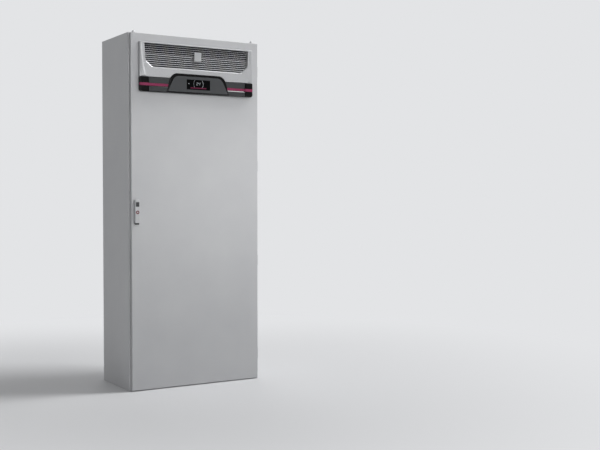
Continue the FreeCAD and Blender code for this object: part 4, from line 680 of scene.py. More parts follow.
def wrapped_strip(side, start):
    """A section of four corners carried along a straight run, a quarter circle of the cap's edge
    radius and a run back towards the door; side is -1 or 1."""
    bend = np.linspace(0, np.pi / 2, WRAP_STEPS)
    centre = np.array([cap_reach - CAP_EDGE, cap_front + CAP_EDGE])
    out = np.stack([np.sin(bend), -np.cos(bend)], 1)
    out = np.concatenate([[(0, -1)], out, [(1, 0)]])
    first, last = (start, centre[1]), (centre[0], centre[1] + WRAP_RUN)
    middle = np.concatenate([[first], np.tile(centre, (WRAP_STEPS, 1)), [last]])
    rows = []
    for lift, height in rectangle(-WRAP_LIFT, WRAP_LIFT, groove_low, groove_high):
        spot = middle + out * (CAP_EDGE + lift)
        rows.append(np.column_stack([side * spot[:, 0], spot[:, 1], np.full(len(spot), height)]))
    return skin(np.stack(rows, 1)[::side])


caps, strips = [], []
for side in (-1, 1):
    left, right = sorted((side * band_high[0], side * cap_reach))
    low_radii, high_radii = [CAP_INNER, CAP_FOOT][::side], [CAP_HEAD, CAP_INNER][::side]
    cap_outline = rounded(rectangle(left, right, band_foot, band_head), low_radii + high_radii)
    caps.append(plate(cap_outline, door_front, cap_front, CAP_EDGE))
    left, right = sorted((side * STRIP_START, side * band_high[0]))
    strips.append(bar(strip_section, left + STRIP_GAP, right - STRIP_GAP))
    strips.append(wrapped_strip(side, band_high[0] + WRAP_GAP))
add_piece("polished_end_caps", caps, "door", "gloss_black", ["band_end_caps"])
add_piece("magenta_strips", strips, "door", "magenta", ["accent_strips"])

# %% [markdown]
# The display pod stands on the band: a polished black hump with a grained face plate let into it
# and a small black display in the face. All three are plates of the same family, each with its
# own outline and edge.

# %% Display pod
pod_low, pod_high = box_mm("display_pod")
face_low, face_high = box_mm("display_face")
screen_low, screen_high = box_mm("display_screen")
POD_TOP_HALF, POD_SHOULDER, POD_EDGE, POD_BACK = 165.0, 50, 4.2, 0.5
FACE_TOP_HALF, FACE_SHOULDER, FACE_RISE, FACE_PROUD, GLASS_PROUD = 145.0, 42, 2.0, 0.25, 0.4
pod_front = pod_low[1] + POD_BACK


def hump(low, high, top_half, radius):
    """A trapezium, wide at its foot, with shoulders of this radius."""
    corners = [(low[0], low[2]), (high[0], low[2]), (top_half, high[2]), (-top_half, high[2])]
    return rounded(corners, [4, 4, radius, radius], 14)


pod_outline = hump(pod_low, pod_high, POD_TOP_HALF, POD_SHOULDER)
pod = plate(pod_outline, pod_high[1] + POD_BACK, pod_front, POD_EDGE)
add_piece("display_pod_hump", [pod], "door", "gloss_black", ["display_pod"])
face_foot = face_low + (0, 0, FACE_RISE)
face_outline = hump(face_foot, face_high, FACE_TOP_HALF, FACE_SHOULDER)
face = plate(face_outline, pod_front + 1, pod_front - FACE_PROUD, 0.7)
add_piece("display_face_plate", [face], "door", "band_grey", ["display_face"])
screen_outline = rounded(rectangle(screen_low[0], screen_high[0], screen_low[2], screen_high[2]), 3)
glass = plate(screen_outline, pod_front + 0.5, pod_front - GLASS_PROUD, 0.3)
glass_tone = moulded("black_display_glass", "#030304", 0.16, 6.0, 0.01, 0.04)
add_piece("display_glass", [glass], "door", "gloss_black", ["display_screen"], glass_tone)

# %% [markdown]
# The lit marks on the display are light sources of their own. A plain emission is right here,
# because a display's pixels don't shade. They lie on the black glass, a polished plastic.

# %% Lit finish
PIXEL_MM = 0.6


def lit_mark(name, code, strength):
    """A lit shape: its colour times strength shines by itself over black; a noise moves the
    roughness."""
    glow = {"Emission Color": linear(code), "Emission Strength": strength}
    dark = {"Base Color": linear("#0A0A0B"), "Specular IOR Level": 0.1}
    finish, tree, shader, place = start_finish(name, {**glow, **dark})
    noise = add_node(tree, "ShaderNodeTexNoise", {"Scale": per_metre(PIXEL_MM)}, {"Vector": place})
    limits = {"To Min": 0.3, "To Max": 0.5}
    add_node(tree, "ShaderNodeMapRange", limits, {"Value": noise.outputs["Fac"]}, shader.inputs["Roughness"])
    return finish


white_mark = lit_mark("display_white", "#C8CDD2", 0.7)
red_mark = lit_mark("display_magenta", "#560E30", 1.0)
print("lit:", white_mark.name, red_mark.name)

# %% [markdown]
# The marks could be a picture on the glass, but thin plates stay sharp from near by and need no
# picture. A stroke is a rectangle with round corners, an arc is a strip between two circles, and a
# number is made of up to seven strokes.

# %% Strokes and arcs
MARK_BACK, MARK_FRONT, STROKE_WIDE, STROKE_ROUND = 0.35, 0.48, 1.4, 0.45


def arc_band(middle, radius, width, start, end, steps=24):
    """A strip along a circle from start to end in degrees: half the width outside it, half inside."""
    angle = np.radians(np.linspace(start, end, steps))
    ray = np.stack([np.cos(angle), np.sin(angle)], 1)
    rows = [middle + ray * (radius + width / 2), middle + ray * (radius - width / 2)]
    return np.concatenate([rows[0], rows[1][::-1]])


def stroke(start, end, width):
    """A straight bar with round corners: both ends moved aside by half the width."""
    start, end = np.array(start, float), np.array(end, float)
    way = (end - start) / np.linalg.norm(end - start)
    aside = np.array([way[1], -way[0]]) * width / 2
    corners = [start + aside, end + aside, end - aside, start - aside]
    return rounded(corners, width * STROKE_ROUND, 4)


def digit(left, foot, wide, tall, lit):
    """Seven strokes of a plain number; lit holds a letter for each stroke that shows."""
    right, middle, top = left + wide, foot + tall / 2, foot + tall
    ends = {
        "a": ((left, top), (right, top)), "b": ((right, middle), (right, top)),
        "c": ((right, foot), (right, middle)), "d": ((left, foot), (right, foot)),
        "e": ((left, foot), (left, middle)), "f": ((left, middle), (left, top)),
        "g": ((left, middle), (right, middle)),
    }
    return [stroke(*ends[letter], STROKE_WIDE) for letter in lit]


def mark(outline):
    """A thin raised plate: the same outline at two depths."""
    depths = [pod_front - MARK_BACK, pod_front - MARK_FRONT]
    return skin(standing(np.stack([outline, outline]), depths))


print("marks stand", round(MARK_FRONT - GLASS_PROUD, 2), "mm before the glass")

# %% [markdown]
# The display shows a plain number with a small ring beside it, a large ring in two arcs, a dot and
# a coloured bar. Their places are worked out from the display's middle and its foot.

# %% Lit marks on the display
DIGIT_WIDE, DIGIT_TALL, DIGIT_LEFT, DIGIT_RIGHT = 7.5, 14.0, -11.5, 1.0
RING_REACH, BAR_HALF, BAR_TALL, BAR_RISE = 30.0, 50.0, 6.5, 10
screen_middle = (screen_low[2] + screen_high[2]) / 2
ring_middle = np.array([0.0, screen_middle + 5])
digit_foot = screen_middle - 1
white_shapes = digit(DIGIT_LEFT, digit_foot, DIGIT_WIDE, DIGIT_TALL, "abged")
white_shapes += digit(DIGIT_RIGHT, digit_foot, DIGIT_WIDE, DIGIT_TALL, "fgbc")
white_shapes.append(arc_band(np.array([12.5, screen_middle + 11.6]), 1.7, 0.9, 0, 350))
white_shapes.append(arc_band(ring_middle, RING_REACH, 1.6, -42, 42))
white_shapes.append(arc_band(ring_middle, RING_REACH, 0.8, 138, 222))
white_shapes.append(arc_band(np.array([-61.0, screen_middle + 4]), 1.3, 2.4, 0, 350))
figures = [mark(line) for line in white_shapes]
add_piece("display_figures", figures, "door", "gloss_black", finish=white_mark)
bar_z = screen_low[2] + BAR_RISE
red_bar = stroke((-BAR_HALF, bar_z), (BAR_HALF, bar_z), BAR_TALL)
add_piece("display_bar", [mark(red_bar)], "door", "gloss_black", finish=red_mark)

# %% [markdown]
# The swing handle is a die casting: a base plate on the door, a lever that lifts out of it and a
# key lock in the lever. The base is a plate. At its foot, where a finger gets behind the lever, a thin
# black plate is painted shade: it stands for the shadow in the hollow.

# %% Handle base
base_low, base_high = box_mm("handle_base")
lever_low, lever_high = box_mm("handle_lever")
handle_x = (lever_low[0] + lever_high[0]) / 2
base_outline = rounded(rectangle(base_low[0], base_high[0], base_low[2], base_high[2]), 9)
base_plate = plate(base_outline, base_high[1], base_low[1], 1.6)
add_piece("handle_base_plate", [base_plate], "door", "handle_grey", ["handle_base"])
HOLLOW_SIDE, HOLLOW_BELOW, HOLLOW_ABOVE = 0.5, 9, 14
hollow_corners = rectangle(
    lever_low[0] + HOLLOW_SIDE, lever_high[0] - HOLLOW_SIDE,
    lever_low[2] - HOLLOW_BELOW, lever_low[2] + HOLLOW_ABOVE,
)
# Painted shade: a thin black plate on the base stands for the shadow under the lever's foot.
hollow_shade_plate = plate(rounded(hollow_corners, 4), base_low[1] + 0.4, base_low[1] - 0.15, 0.1)
add_piece("finger_hollow_painted_shade", [hollow_shade_plate], "door", "black_plastic")

# %% [markdown]
# The lever is a thin-walled shell, open behind, with round front edges. One grid goes from its inner
# face back along the wall, over the rim and forward again to its outer face. Above the pin the rim
# follows a circle round the pin, so that the head clears the base when the lever lifts. Towards the
# foot the back rises, so that a finger gets behind it.

# %% Lever
FINGER_TALL, FINGER_THIN = 28.0, 0.6
LEVER_EDGE, CAST_WALL, HEAD_ROOM, INNER_DROP = 4.6, 1.2, 0.4, 4
lever_corners = rectangle(lever_low[0], lever_high[0], lever_low[2], lever_high[2])
lever_outline = rounded(lever_corners, [5, 5, 9, 9], 9)
moved, behind = edge_round(LEVER_EDGE)
inner = inset(lever_outline, CAST_WALL + np.array([2.0, 0.5, 0]))
outer = inset(lever_outline, np.concatenate([[0], moved]))
inner_depth = [lever_low[1] + CAST_WALL + 0.4, lever_low[1] + INNER_DROP, lever_high[1]]
outer_depth = np.concatenate([[lever_high[1]], lever_low[1] + behind])
casting = standing(np.concatenate([inner, outer]), np.concatenate([inner_depth, outer_depth]))
head_radius = (lever_high[1] - lever_low[1]) / 2
pin_y, pin_z = lever_low[1] + head_radius, lever_high[2] - head_radius
over = np.clip(lever_outline[:, 1] - pin_z, 0, head_radius)
head = pin_y + np.sqrt(head_radius**2 - over**2) - HEAD_ROOM * over / head_radius
casting[..., 1] = np.minimum(casting[..., 1], head)
thin = 1 - (1 - FINGER_THIN) * np.clip(1 - (casting[..., 2] - lever_low[2]) / FINGER_TALL, 0, 1)
casting[..., 1] = lever_low[1] + (casting[..., 1] - lever_low[1]) * thin
add_piece("swing_lever", [skin(casting)], "handle_lever", "handle_grey", ["handle_lever"])

# %% [markdown]
# The lever hangs on a hub: a turned disc with a spindle that goes through the door, and on the disc
# a lug with a round head that takes the pin.

# %% Hub
hub_low, hub_high = box_mm("handle_hub")
hub_radius = (hub_high[0] - hub_low[0]) / 2
HUB_GAP, HUB_DISC, SPINDLE, CHAMFER = 0.3, 1.2, 5.0, 0.4
LUG_HALF, LUG_SINK, LUG_FULL = 5.0, 0.3, 0.99
disc_back = base_low[1] - HUB_GAP
disc_front = disc_back - HUB_DISC
spindle_end = hub_high[1] - HUB_GAP / 3
hub_profile = [
    (SPINDLE - CHAMFER, spindle_end), (SPINDLE, spindle_end - CHAMFER), (SPINDLE, disc_back),
    (hub_radius, disc_back), (hub_radius, disc_front + CHAMFER), (hub_radius - CHAMFER, disc_front),
]
lug_round = pin_y - hub_low[1]
lug_corners = rectangle(hub_low[1], disc_front + LUG_SINK, pin_z - lug_round, pin_z + lug_round)
lug_section = rounded(lug_corners, [lug_round * LUG_FULL, 0.2, 0.2, lug_round * LUG_FULL])
lug = bar(lug_section, handle_x - LUG_HALF, handle_x + LUG_HALF)
hub = turned(hub_profile, (handle_x, 0, pin_z))
add_piece("turned_hub", [hub, lug], "handle_hub", "handle_grey", ["handle_hub"])

# %% [markdown]
# A dark inlay sits on the lever and is bare. Below it a dark red ring frames the lock: a turned
# profile that closes on itself. The barrel's rings go from a circle to a rounded slot and down into
# it, which makes the keyhole.

# %% Inlay and lock
lock_low, lock_high = box_mm("lock_ring")
INLAY_HALF, INLAY_LOW, INLAY_HIGH = 10.0, 31.0, 57.0
lock_z = (lock_low[2] + lock_high[2]) / 2
inlay_corners = rectangle(
    handle_x - INLAY_HALF, handle_x + INLAY_HALF, lock_z + INLAY_LOW, lock_z + INLAY_HIGH
)
inlay = plate(rounded(inlay_corners, 2.5), lever_low[1] + 0.5, lever_low[1] - 0.3, 0.5)
add_piece("lever_inlay", [inlay], "handle_lever", "band_grey")

RING_INNER, RING_BORE, RING_LIP, LOCK_SIDES = 4.5, 8.05, 1.0, 48
ring_outer = (lock_high[0] - lock_low[0]) / 2
ring_front, ring_back = lock_low[1], lock_high[1]
ring_profile = [
    (RING_BORE, ring_back), (ring_outer, ring_back), (ring_outer, ring_front + 0.8),
    (ring_outer - 0.5, ring_front), (RING_INNER + 0.6, ring_front), (RING_INNER, ring_front + 0.4),
    (RING_INNER, ring_front + RING_LIP), (RING_BORE, ring_front + RING_LIP),
]
ring = turned(ring_profile, (handle_x, 0, lock_z), "y", LOCK_SIDES, loop=True)
add_piece("lock_ring_moulding", [ring], "handle_lever", "lock_red", ["lock_ring"])

barrel_low, barrel_high = box_mm("lock_cylinder")
KEY_WIDE, KEY_TALL, KEY_DEEP, PLUG_GAP, PLUG_FACE, PLUG_EDGE = 1.5, 6.2, 4.0, 0.3, 0.93, 0.5
barrel_radius = (barrel_high[0] - barrel_low[0]) / 2
slot_corners = rectangle(-KEY_WIDE / 2, KEY_WIDE / 2, -KEY_TALL / 2, KEY_TALL / 2)
angle = np.linspace(0, TURN, LOCK_SIDES, endpoint=False)
circle = np.stack([np.cos(angle), np.sin(angle)], 1)
slot_loop = circle * radius_at(rounded(slot_corners, 0.4), np.zeros(2), angle)[:, None]
disc_loop = circle * barrel_radius
plug_loop = disc_loop * (RING_INNER - PLUG_GAP) / barrel_radius
face_loop = plug_loop * PLUG_FACE
barrel_rows = np.stack([disc_loop, disc_loop, plug_loop, plug_loop, face_loop, slot_loop, slot_loop])
step, tip = ring_front + RING_LIP + PLUG_GAP, barrel_low[1]
barrel_depth = [barrel_high[1], step, step, tip + PLUG_EDGE, tip, tip, tip + KEY_DEEP]
barrel = skin(standing(barrel_rows + (handle_x, lock_z), barrel_depth))
add_piece("lock_barrel_turned", [barrel], "lock_cylinder", "zinc_steel", ["lock_cylinder"])

# %% [markdown]
# Panel screws have a low dome and a six-lobed recess for the driver. The recess is a circle whose
# radius waves six times round, and the dome's rings shrink to it and go down inside. The rear
# panel's screws are countersunk almost flush.

# %% Screws
SCREW_RADIUS, SCREW_PROUD, DOME_SHARE = 4.0, 2.0, 0.9
RECESS_RADIUS, RECESS_SHARE, LOBE = 1.6, 0.7, 0.16
REAR_SIDE, REAR_END, REAR_PROUD = 15, 20, 0.4
screw_low, screw_high = box_mm("panel_screws")
panel_face = box_mm("side_panel_right")[1][0]
rear_low, rear_high = box_mm("rear_panel")
lobe_angle = np.linspace(0, TURN, 36, endpoint=False)
lobed = RECESS_RADIUS * (1 + LOBE * np.cos(6 * lobe_angle))
dome = np.linspace(0, 1, 6)[:, None]
dome_rings = np.tile(SCREW_RADIUS * np.cos(dome * DOME_SHARE), len(lobe_angle))
screw_rings = np.concatenate([dome_rings, lobed[None], lobed[None]])


def screw(place, out, proud):
    """Rings round the axis out: height follows a sine to the crown, then drops into the recess."""
    crown = proud * np.sin(dome * np.pi / 2).ravel()
    height = np.concatenate([crown, [proud, proud - RECESS_SHARE * proud]])
    out = np.array(out, float)
    aside, up = np.array([abs(out[1]), abs(out[0]), 0.0]), np.array([0.0, 0.0, 1.0])
    turn_x = (screw_rings * np.cos(lobe_angle))[..., None]
    turn_z = (screw_rings * np.sin(lobe_angle))[..., None]
    return skin(np.array(place) + out * height[:, None, None] + aside * turn_x + up * turn_z)


screw_y = [screw_low[1] + SCREW_RADIUS, screw_high[1] - SCREW_RADIUS]
screw_z = [screw_low[2] + SCREW_RADIUS, (screw_low[2] + screw_high[2]) / 2, screw_high[2] - SCREW_RADIUS]
spots = [(out, y, z) for out in (-1, 1) for y in screw_y for z in screw_z]
heads = [screw((out * panel_face, y, z), (out, 0, 0), SCREW_PROUD) for out, y, z in spots]
add_piece("panel_screw_heads", heads, "cabinet", "zinc_steel", ["panel_screws"])
rear_x = rear_low[0] + REAR_SIDE, rear_high[0] - REAR_SIDE
rear_z = np.linspace(rear_low[2] + REAR_END, rear_high[2] - REAR_END, 6)
heads = [screw((x, rear_high[1], z), (0, 1, 0), REAR_PROUD) for x in rear_x for z in rear_z]
add_piece("rear_screw_heads", heads, "cabinet", "zinc_steel")

# %% [markdown]
# The cooling unit's case is closed by rivets along its foot and both sides. A rivet's head is a low
# dome: a quarter of an ellipse spun round its axis.

# %% Rivets
case_low, case_high = box_mm("cooler_housing")
RIVET_RADIUS, RIVET_PROUD, RIVET_EDGE, RIVET_LOW, RIVET_HIGH = 3.2, 1.3, 10.0, 70, 130
arc = np.linspace(0, np.pi / 2, 5)
rivet_profile = np.column_stack([RIVET_RADIUS * np.cos(arc), -RIVET_PROUD * np.sin(arc)])
spread_x = np.linspace(case_low[0] + RIVET_EDGE, case_high[0] - RIVET_EDGE, 9)
edge_z = np.linspace(case_low[2] + RIVET_LOW, case_high[2] - RIVET_HIGH, 5)
rivet_spots = [(x, case_low[2] + RIVET_EDGE) for x in spread_x]
rivet_spots += [(x, z) for x in (spread_x[0], spread_x[-1]) for z in edge_z]
rivets = [turned(rivet_profile, (x, case_low[1], z), "y", 12) for x, z in rivet_spots]
add_piece("case_rivets", rivets, "cabinet", "zinc_steel")

# %% [markdown]
# The roof bolts close the holes for lifting eyes: a blunt cone on a flange, turned and coated like
# the frame. A profile spun round its axis gives all of it.

# %% Roof bolts
bolt_low, bolt_high = box_mm("roof_bolts")
BOLT_BASE, BOLT_TIP, BOLT_CURVE = 10.0, 2.6, 1.15
FLANGE_SHARE, FLANGE_EDGE, TIP_EDGE = 0.16, 0.6, 0.8
bolt_tall = bolt_high[2] - bolt_low[2]
rise = np.linspace(0, 1, 9)[1:-1]
cone_radius = BOLT_TIP + (BOLT_BASE - BOLT_TIP) * (1 - rise**BOLT_CURVE)
cone = np.column_stack([cone_radius, bolt_tall * (FLANGE_SHARE + (1 - FLANGE_SHARE) * rise)])
flange = [(BOLT_BASE - FLANGE_EDGE, 0.0), (BOLT_BASE, FLANGE_EDGE), (BOLT_BASE, bolt_tall * FLANGE_SHARE)]
tip = [(BOLT_TIP, bolt_tall - TIP_EDGE), (BOLT_TIP - TIP_EDGE, bolt_tall)]
bolt_profile = np.concatenate([flange, cone, tip])
bolt_x = bolt_low[0] + BOLT_BASE, bolt_high[0] - BOLT_BASE
bolt_y = bolt_low[1] + BOLT_BASE, bolt_high[1] - BOLT_BASE
bolts = [turned(bolt_profile, (x, y, bolt_low[2]), "z", 32) for x in bolt_x for y in bolt_y]
add_piece("roof_bolt_caps", bolts, "cabinet", "frame_paint", ["roof_bolts"])

# %% [markdown]
# The corner posts and the door's stiffener are folded from strip with a row of round holes at a
# 25 mm pitch for nuts and rails. A post is a closed section carried along a line, and each side
# with holes is a row of cells: rings between a rectangle and a circle. Folds and cells share their
# corner points, so the pieces join to one tube, and Solidify gives it the sheet's thickness.

# %% Punched tubes
HOLE_PITCH, HOLE_RADIUS, FOLD_STEPS = 25.0, 4.5, 4
OCTAGON = np.array([(1, 0), (1, 1), (0, 1), (-1, 1), (-1, 0), (-1, -1), (0, -1), (1, -1)], float)


def cell_row(start, end, count, pitch):
    """Rings along a side from start to end of the section, as (along, section) coordinates."""
    width = np.linalg.norm(end - start)
    circle = OCTAGON / np.linalg.norm(OCTAGON, axis=1, keepdims=True) * HOLE_RADIUS
    loops = np.stack([OCTAGON * (pitch / 2, width / 2), circle])
    middles = (np.arange(count) + 0.5) * pitch
    along = (loops[None, :, :, 0] + middles[:, None, None]).reshape(-1, 1)
    across = np.tile(loops[:, :, 1].ravel(), count)[:, None]
    points = np.hstack([along, (start + end) / 2 + across * (end - start) / width])
    index = np.arange(count * 16).reshape(count, 2, 8)
    after = np.roll(index, -1, 2)
    return points, np.stack([index[:, 0], after[:, 0], after[:, 1], index[:, 1]], -1).reshape(-1, 4)


def punched_tube(corners, radii, holed, place, axes, length):
    """A closed section carried along axes[0]; each side after a holed corner is a row of cells."""
    section = rounded(corners, radii, FOLD_STEPS)
    count = int(length // HOLE_PITCH)
    rows = np.linspace(0, length, 2 * count + 1)
    axes = np.array(axes, float)
    shells = []
    for first, last in zip(holed, holed[1:] + [holed[0] + len(corners)]):
        fold = section[np.arange((first + 1) * FOLD_STEPS, (last + 1) * FOLD_STEPS) % len(section)]
        grid = np.concatenate([
            np.repeat(rows[:, None, None], len(fold), 1), np.repeat(fold[None], len(rows), 0)
        ], 2)
        points, quads, lids = skin(grid, ring=False, lids=False)
        shells.append((place + points @ axes, quads, lids))
        start = section[(first + 1) * FOLD_STEPS - 1]
        end = section[(first + 1) * FOLD_STEPS % len(section)]
        points, quads = cell_row(start, end, count, length / count)
        shells.append((place + points @ axes, quads, []))
    return shells


print("holes", 2 * HOLE_RADIUS, "mm wide, every", HOLE_PITCH, "mm")

# %% [markdown]
# A post's section is an L with two holed sides. The same section serves all four corners: its two
# axes point from the corner into the enclosure. The stiffener is four bars with one holed side.

# %% Posts and stiffener
POST_LEG, POST_WIDE, POST_SHEET = 40.0, 24.0, 1.5
post_corners = [
    (0, 0), (POST_LEG, 0), (POST_LEG, POST_WIDE), (POST_WIDE, POST_WIDE), (POST_WIDE, POST_LEG), (0, POST_LEG)
]
for node in ("post_front_left", "post_front_right", "post_rear_left", "post_rear_right"):
    low, high = box_mm(node)
    side, end = np.sign(low[0] + high[0]), np.sign(low[1] + high[1])
    corner = np.array([low[0] if side < 0 else high[0], low[1] if end < 0 else high[1], low[2]])
    axes = [(0, 0, 1), (-side, 0, 0), (0, -end, 0)]
    tube = punched_tube(post_corners, [3, 2, 2, 1.5, 2, 2], [1, 4], corner, axes, high[2] - low[2])
    add_piece("punched_" + node, tube, "cabinet", "frame_paint", [node], wall=POST_SHEET)

STIFF_WIDE, STIFF_SHEET = 20.0, 1.2
low, high = box_mm("door_stiffener")
stiff_corners = rectangle(0, STIFF_WIDE, 0, high[1] - low[1])
bars = []
for x in (low[0], high[0] - STIFF_WIDE):
    axes = [(0, 0, 1), (1, 0, 0), (0, 1, 0)]
    bars += punched_tube(stiff_corners, 2, [2], np.array([x, low[1], low[2]]), axes, high[2] - low[2])
for z in (low[2], high[2] - STIFF_WIDE):
    axes = [(1, 0, 0), (0, 0, 1), (0, 1, 0)]
    place = np.array([low[0] + STIFF_WIDE, low[1], z])
    bars += punched_tube(stiff_corners, 2, [2], place, axes, high[0] - low[0] - 2 * STIFF_WIDE)
add_piece("punched_stiffener", bars, "door", "zinc_sheet", ["door_stiffener"], wall=STIFF_SHEET)

# %% [markdown]
# The door seal is foamed in place: a soft bead laid round the door by a nozzle. Its section is half
# an ellipse, and the bead follows a rectangle with round corners.

# %% Door seal
seal_low, seal_high = box_mm("door_seal")
SEAL_WIDE, SEAL_CORNER = 8.0, 14
arch = np.linspace(0, np.pi, 9)
seal_inset = SEAL_WIDE / 2 * (1 - np.cos(arch))
seal_depth = seal_low[1] + (seal_high[1] - seal_low[1]) * np.sin(arch)
seal_corners = rectangle(seal_low[0], seal_high[0], seal_low[2], seal_high[2])
seal_outline = rounded(seal_corners, SEAL_CORNER)
bead = skin(standing(inset(seal_outline, seal_inset), seal_depth), loop=True)
add_piece("foamed_seal", [bead], "door", "seal_foam", ["door_seal"])

# %% [markdown]
# A coil is a stack of thin aluminium fins on copper tubes, between two folded end plates. The fins
# are pressed from strip at a pitch of about 2 mm. They are drawn a little coarser, because finer
# ones would flicker in a picture of the whole enclosure.

# %% Coils
FIN_PITCH, FIN_THICK, FIN_DEEP, END_PLATE = 2.6, 0.5, 45.0, 2
TUBE_RADIUS, TUBE_PITCH, TUBE_ROWS = 4.8, 25.0, np.array([12, 33])
BOX_FACES = np.array([(0, 1, 3, 2), (4, 6, 7, 5), (0, 4, 5, 1), (2, 3, 7, 6), (0, 2, 6, 4), (1, 5, 7, 3)])


def blocks(lows, highs):
    """Many boxes at once: each corner takes x, y and z from the low or the high end, in all eight ways."""
    pick = np.array([(a, b, c) for a in (0, 1) for b in (0, 1) for c in (0, 1)])
    points = np.where(pick[None], np.asarray(highs)[:, None], np.asarray(lows)[:, None])
    quads = BOX_FACES[None] + 8 * np.arange(len(points))[:, None, None]
    return points.reshape(-1, 3), quads.reshape(-1, 4), []


for node, tall in (("condenser_coil", 240.0), ("evaporator_coil", 190.0)):
    low, high = box_mm(node)
    top = low + (0, FIN_DEEP, tall)
    span = high[0] - low[0] - 2 * END_PLATE
    count = int(span // FIN_PITCH)
    x = low[0] + END_PLATE + (np.arange(count) + 0.5) * span / count
    starts = np.concatenate([x - FIN_THICK / 2, [low[0], high[0] - END_PLATE]])
    ends = np.concatenate([x + FIN_THICK / 2, [low[0] + END_PLATE, high[0]]])
    lows = np.column_stack([starts, np.tile(low[1:], (len(starts), 1))])
    highs = np.column_stack([ends, np.tile(top[1:], (len(ends), 1))])
    add_piece(node + "_fins", [blocks(lows, highs)], "cabinet", "fin_aluminium", [node])
    tube_z = low[2] + TUBE_PITCH / 2 + TUBE_PITCH * np.arange(int(tall // TUBE_PITCH))
    tube = [(TUBE_RADIUS, low[0] + 1), (TUBE_RADIUS, high[0] - 1)]
    runs = [turned(tube, (0, y, z), "x", 10) for y in low[1] + TUBE_ROWS for z in tube_z]
    add_piece(node + "_tubes", runs, "cabinet", "copper")

# %% [markdown]
# The studio is plain, with a pale floor. It is lit near the object and turns into the same pale tone
# as the background further out, so that no horizon shows from any side. A curved backdrop would do
# this for one view only.

# %% Floor
PALE, FADE_START, FADE_END, FLOOR_SIDES = "#E3E4E6", 0.9, 3.2, 96
ring = np.linspace(0, TURN, FLOOR_SIDES, endpoint=False)
reach = np.array([0.0, 1.0, 3.0, 40.0])[:, None]
floor_rows = np.dstack([reach * np.cos(ring), reach * np.sin(ring), 0 * reach * ring])
floor_points, floor_quads = skin(floor_rows, lids=False)[:2]
floor_mesh = bpy.data.meshes.new("studio_floor")
floor_mesh.from_pydata(floor_points, [], floor_quads.tolist())
matt = {"Roughness": 0.9, "Specular IOR Level": 0.1}
floor_finish, tree, shader, place = start_finish("pale_floor", matt)
shader.inputs["Base Color"].default_value = linear("#D8D9DB")
far = add_node(tree, "ShaderNodeVectorMath", {"operation": "LENGTH"}, {0: place})
limits = {"interpolation_type": "SMOOTHSTEP", "From Min": FADE_START, "From Max": FADE_END}
fade = add_node(tree, "ShaderNodeMapRange", limits, {"Value": far.outputs["Value"]})
ray = add_node(tree, "ShaderNodeLightPath").outputs
rays = {0: ray["Is Camera Ray"], 1: ray["Is Glossy Ray"]}
direct = add_node(tree, "ShaderNodeMath", {"operation": "MAXIMUM"}, rays)
factors = {0: fade.outputs["Result"], 1: direct.outputs[0]}
share = add_node(tree, "ShaderNodeMath", {"operation": "MULTIPLY"}, factors)
glow = add_node(tree, "ShaderNodeEmission", {"Color": linear(PALE), "Strength": 1.0})
sources = {0: share.outputs[0], 1: shader.outputs["BSDF"], 2: glow.outputs["Emission"]}
add_node(tree, "ShaderNodeMixShader", links=sources, into=tree.nodes["Material Output"].inputs["Surface"])
floor_mesh.materials.append(floor_finish)
studio_floor = bpy.data.objects.new("studio_floor", floor_mesh)
bpy.context.scene.collection.objects.link(studio_floor)
print("floor", 2 * reach.max(), "m wide")

# %% [markdown]
# The sky is a plain background of two strengths: a dim white one lights the object a little, and a
# pale one is what the camera and the shiny surfaces see.

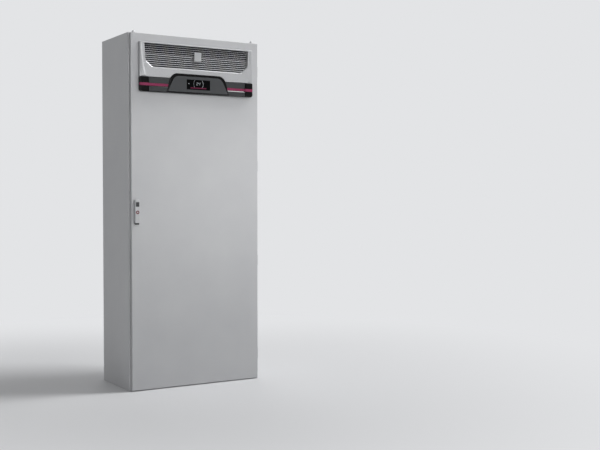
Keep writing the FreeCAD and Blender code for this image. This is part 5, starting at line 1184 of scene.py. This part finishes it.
# %% Sky
world = bpy.data.worlds.new("studio_sky")
world.use_nodes = True
sky = world.node_tree
sky.nodes.clear()
dim = add_node(sky, "ShaderNodeBackground", {"Color": linear("#FFFFFF"), "Strength": 0.3})
seen = add_node(sky, "ShaderNodeBackground", {"Color": linear(PALE), "Strength": 1.0})
ray = add_node(sky, "ShaderNodeLightPath").outputs
rays = {0: ray["Is Camera Ray"], 1: ray["Is Glossy Ray"]}
either = add_node(sky, "ShaderNodeMath", {"operation": "MAXIMUM"}, rays)
sources = {0: either.outputs[0], 1: dim.outputs["Background"], 2: seen.outputs["Background"]}
both = add_node(sky, "ShaderNodeMixShader", links=sources)
add_node(sky, "ShaderNodeOutputWorld", links={"Surface": both.outputs["Shader"]})
bpy.context.scene.world = world
print("sky", PALE)

# %% [markdown]
# Six large soft lamps. The strongest hangs above on the right and lays the shadow to the left. The
# one in front on the right has a narrow beam at handle height: it gives the satin door its broad
# sheen. Another narrow one lights the fascia from the front. Two on the left keep the shaded side
# readable, and one behind, lower than the roof, serves the views from there.

# %% Lamps


def softbox(name, place, aim, wide, tall, power, beam=180):
    """A lamp of wide by tall metres at a place, its axis along aim minus place; beam in degrees."""
    lamp = bpy.data.lights.new(name, "AREA")
    lamp.shape = "RECTANGLE"
    lamp.size, lamp.size_y, lamp.energy = wide, tall, power
    lamp.spread = np.radians(beam)
    shown = bpy.data.objects.new(name, lamp)
    shown.location = place
    shown.rotation_euler = (Vector(aim) - Vector(place)).to_track_quat("-Z", "Y").to_euler()
    bpy.context.scene.collection.objects.link(shown)


softbox("key_right", (2.35, -3.6, 1.2), (0.15, -0.2, 1.1), 1.3, 0.9, 2.1, 44)
softbox("front", (0.4, -5.2, 2.8), (0, -0.2, 1.6), 1.4, 1.4, 2.4, 34)
softbox("fill_left", (-4.4, 0.8, 2.2), (0, 0, 1.2), 1.8, 1.8, 4)
softbox("front_left", (-3.6, -3.4, 2.2), (-0.3, -0.2, 1.3), 1.6, 1.6, 7)
softbox("top", (3.2, -1.2, 5.8), (0, 0, 1.5), 1.7, 2.6, 260)
softbox("behind", (1.6, 4.2, 1.05), (0, 0, 1.1), 2.4, 1.5, 55)
print("six lamps")

# %% [markdown]
# The camera stands low to the left at a little more than waist height, as in the photograph. Its
# place and lens were fitted to the corners of the enclosure.

# %% Camera
camera = bpy.data.objects.new("camera", bpy.data.cameras.new("camera"))
camera.location = (-2.42711, -5.33597, 1.09098)
camera.rotation_euler = (np.pi / 2 - 0.0293, 0, -0.5479)
camera.data.lens = 58.69
camera.data.sensor_width = 36
bpy.context.scene.collection.objects.link(camera)
bpy.context.scene.camera = camera
bpy.context.scene.view_settings.view_transform = "Standard"
print("lens", camera.data.lens, "mm")
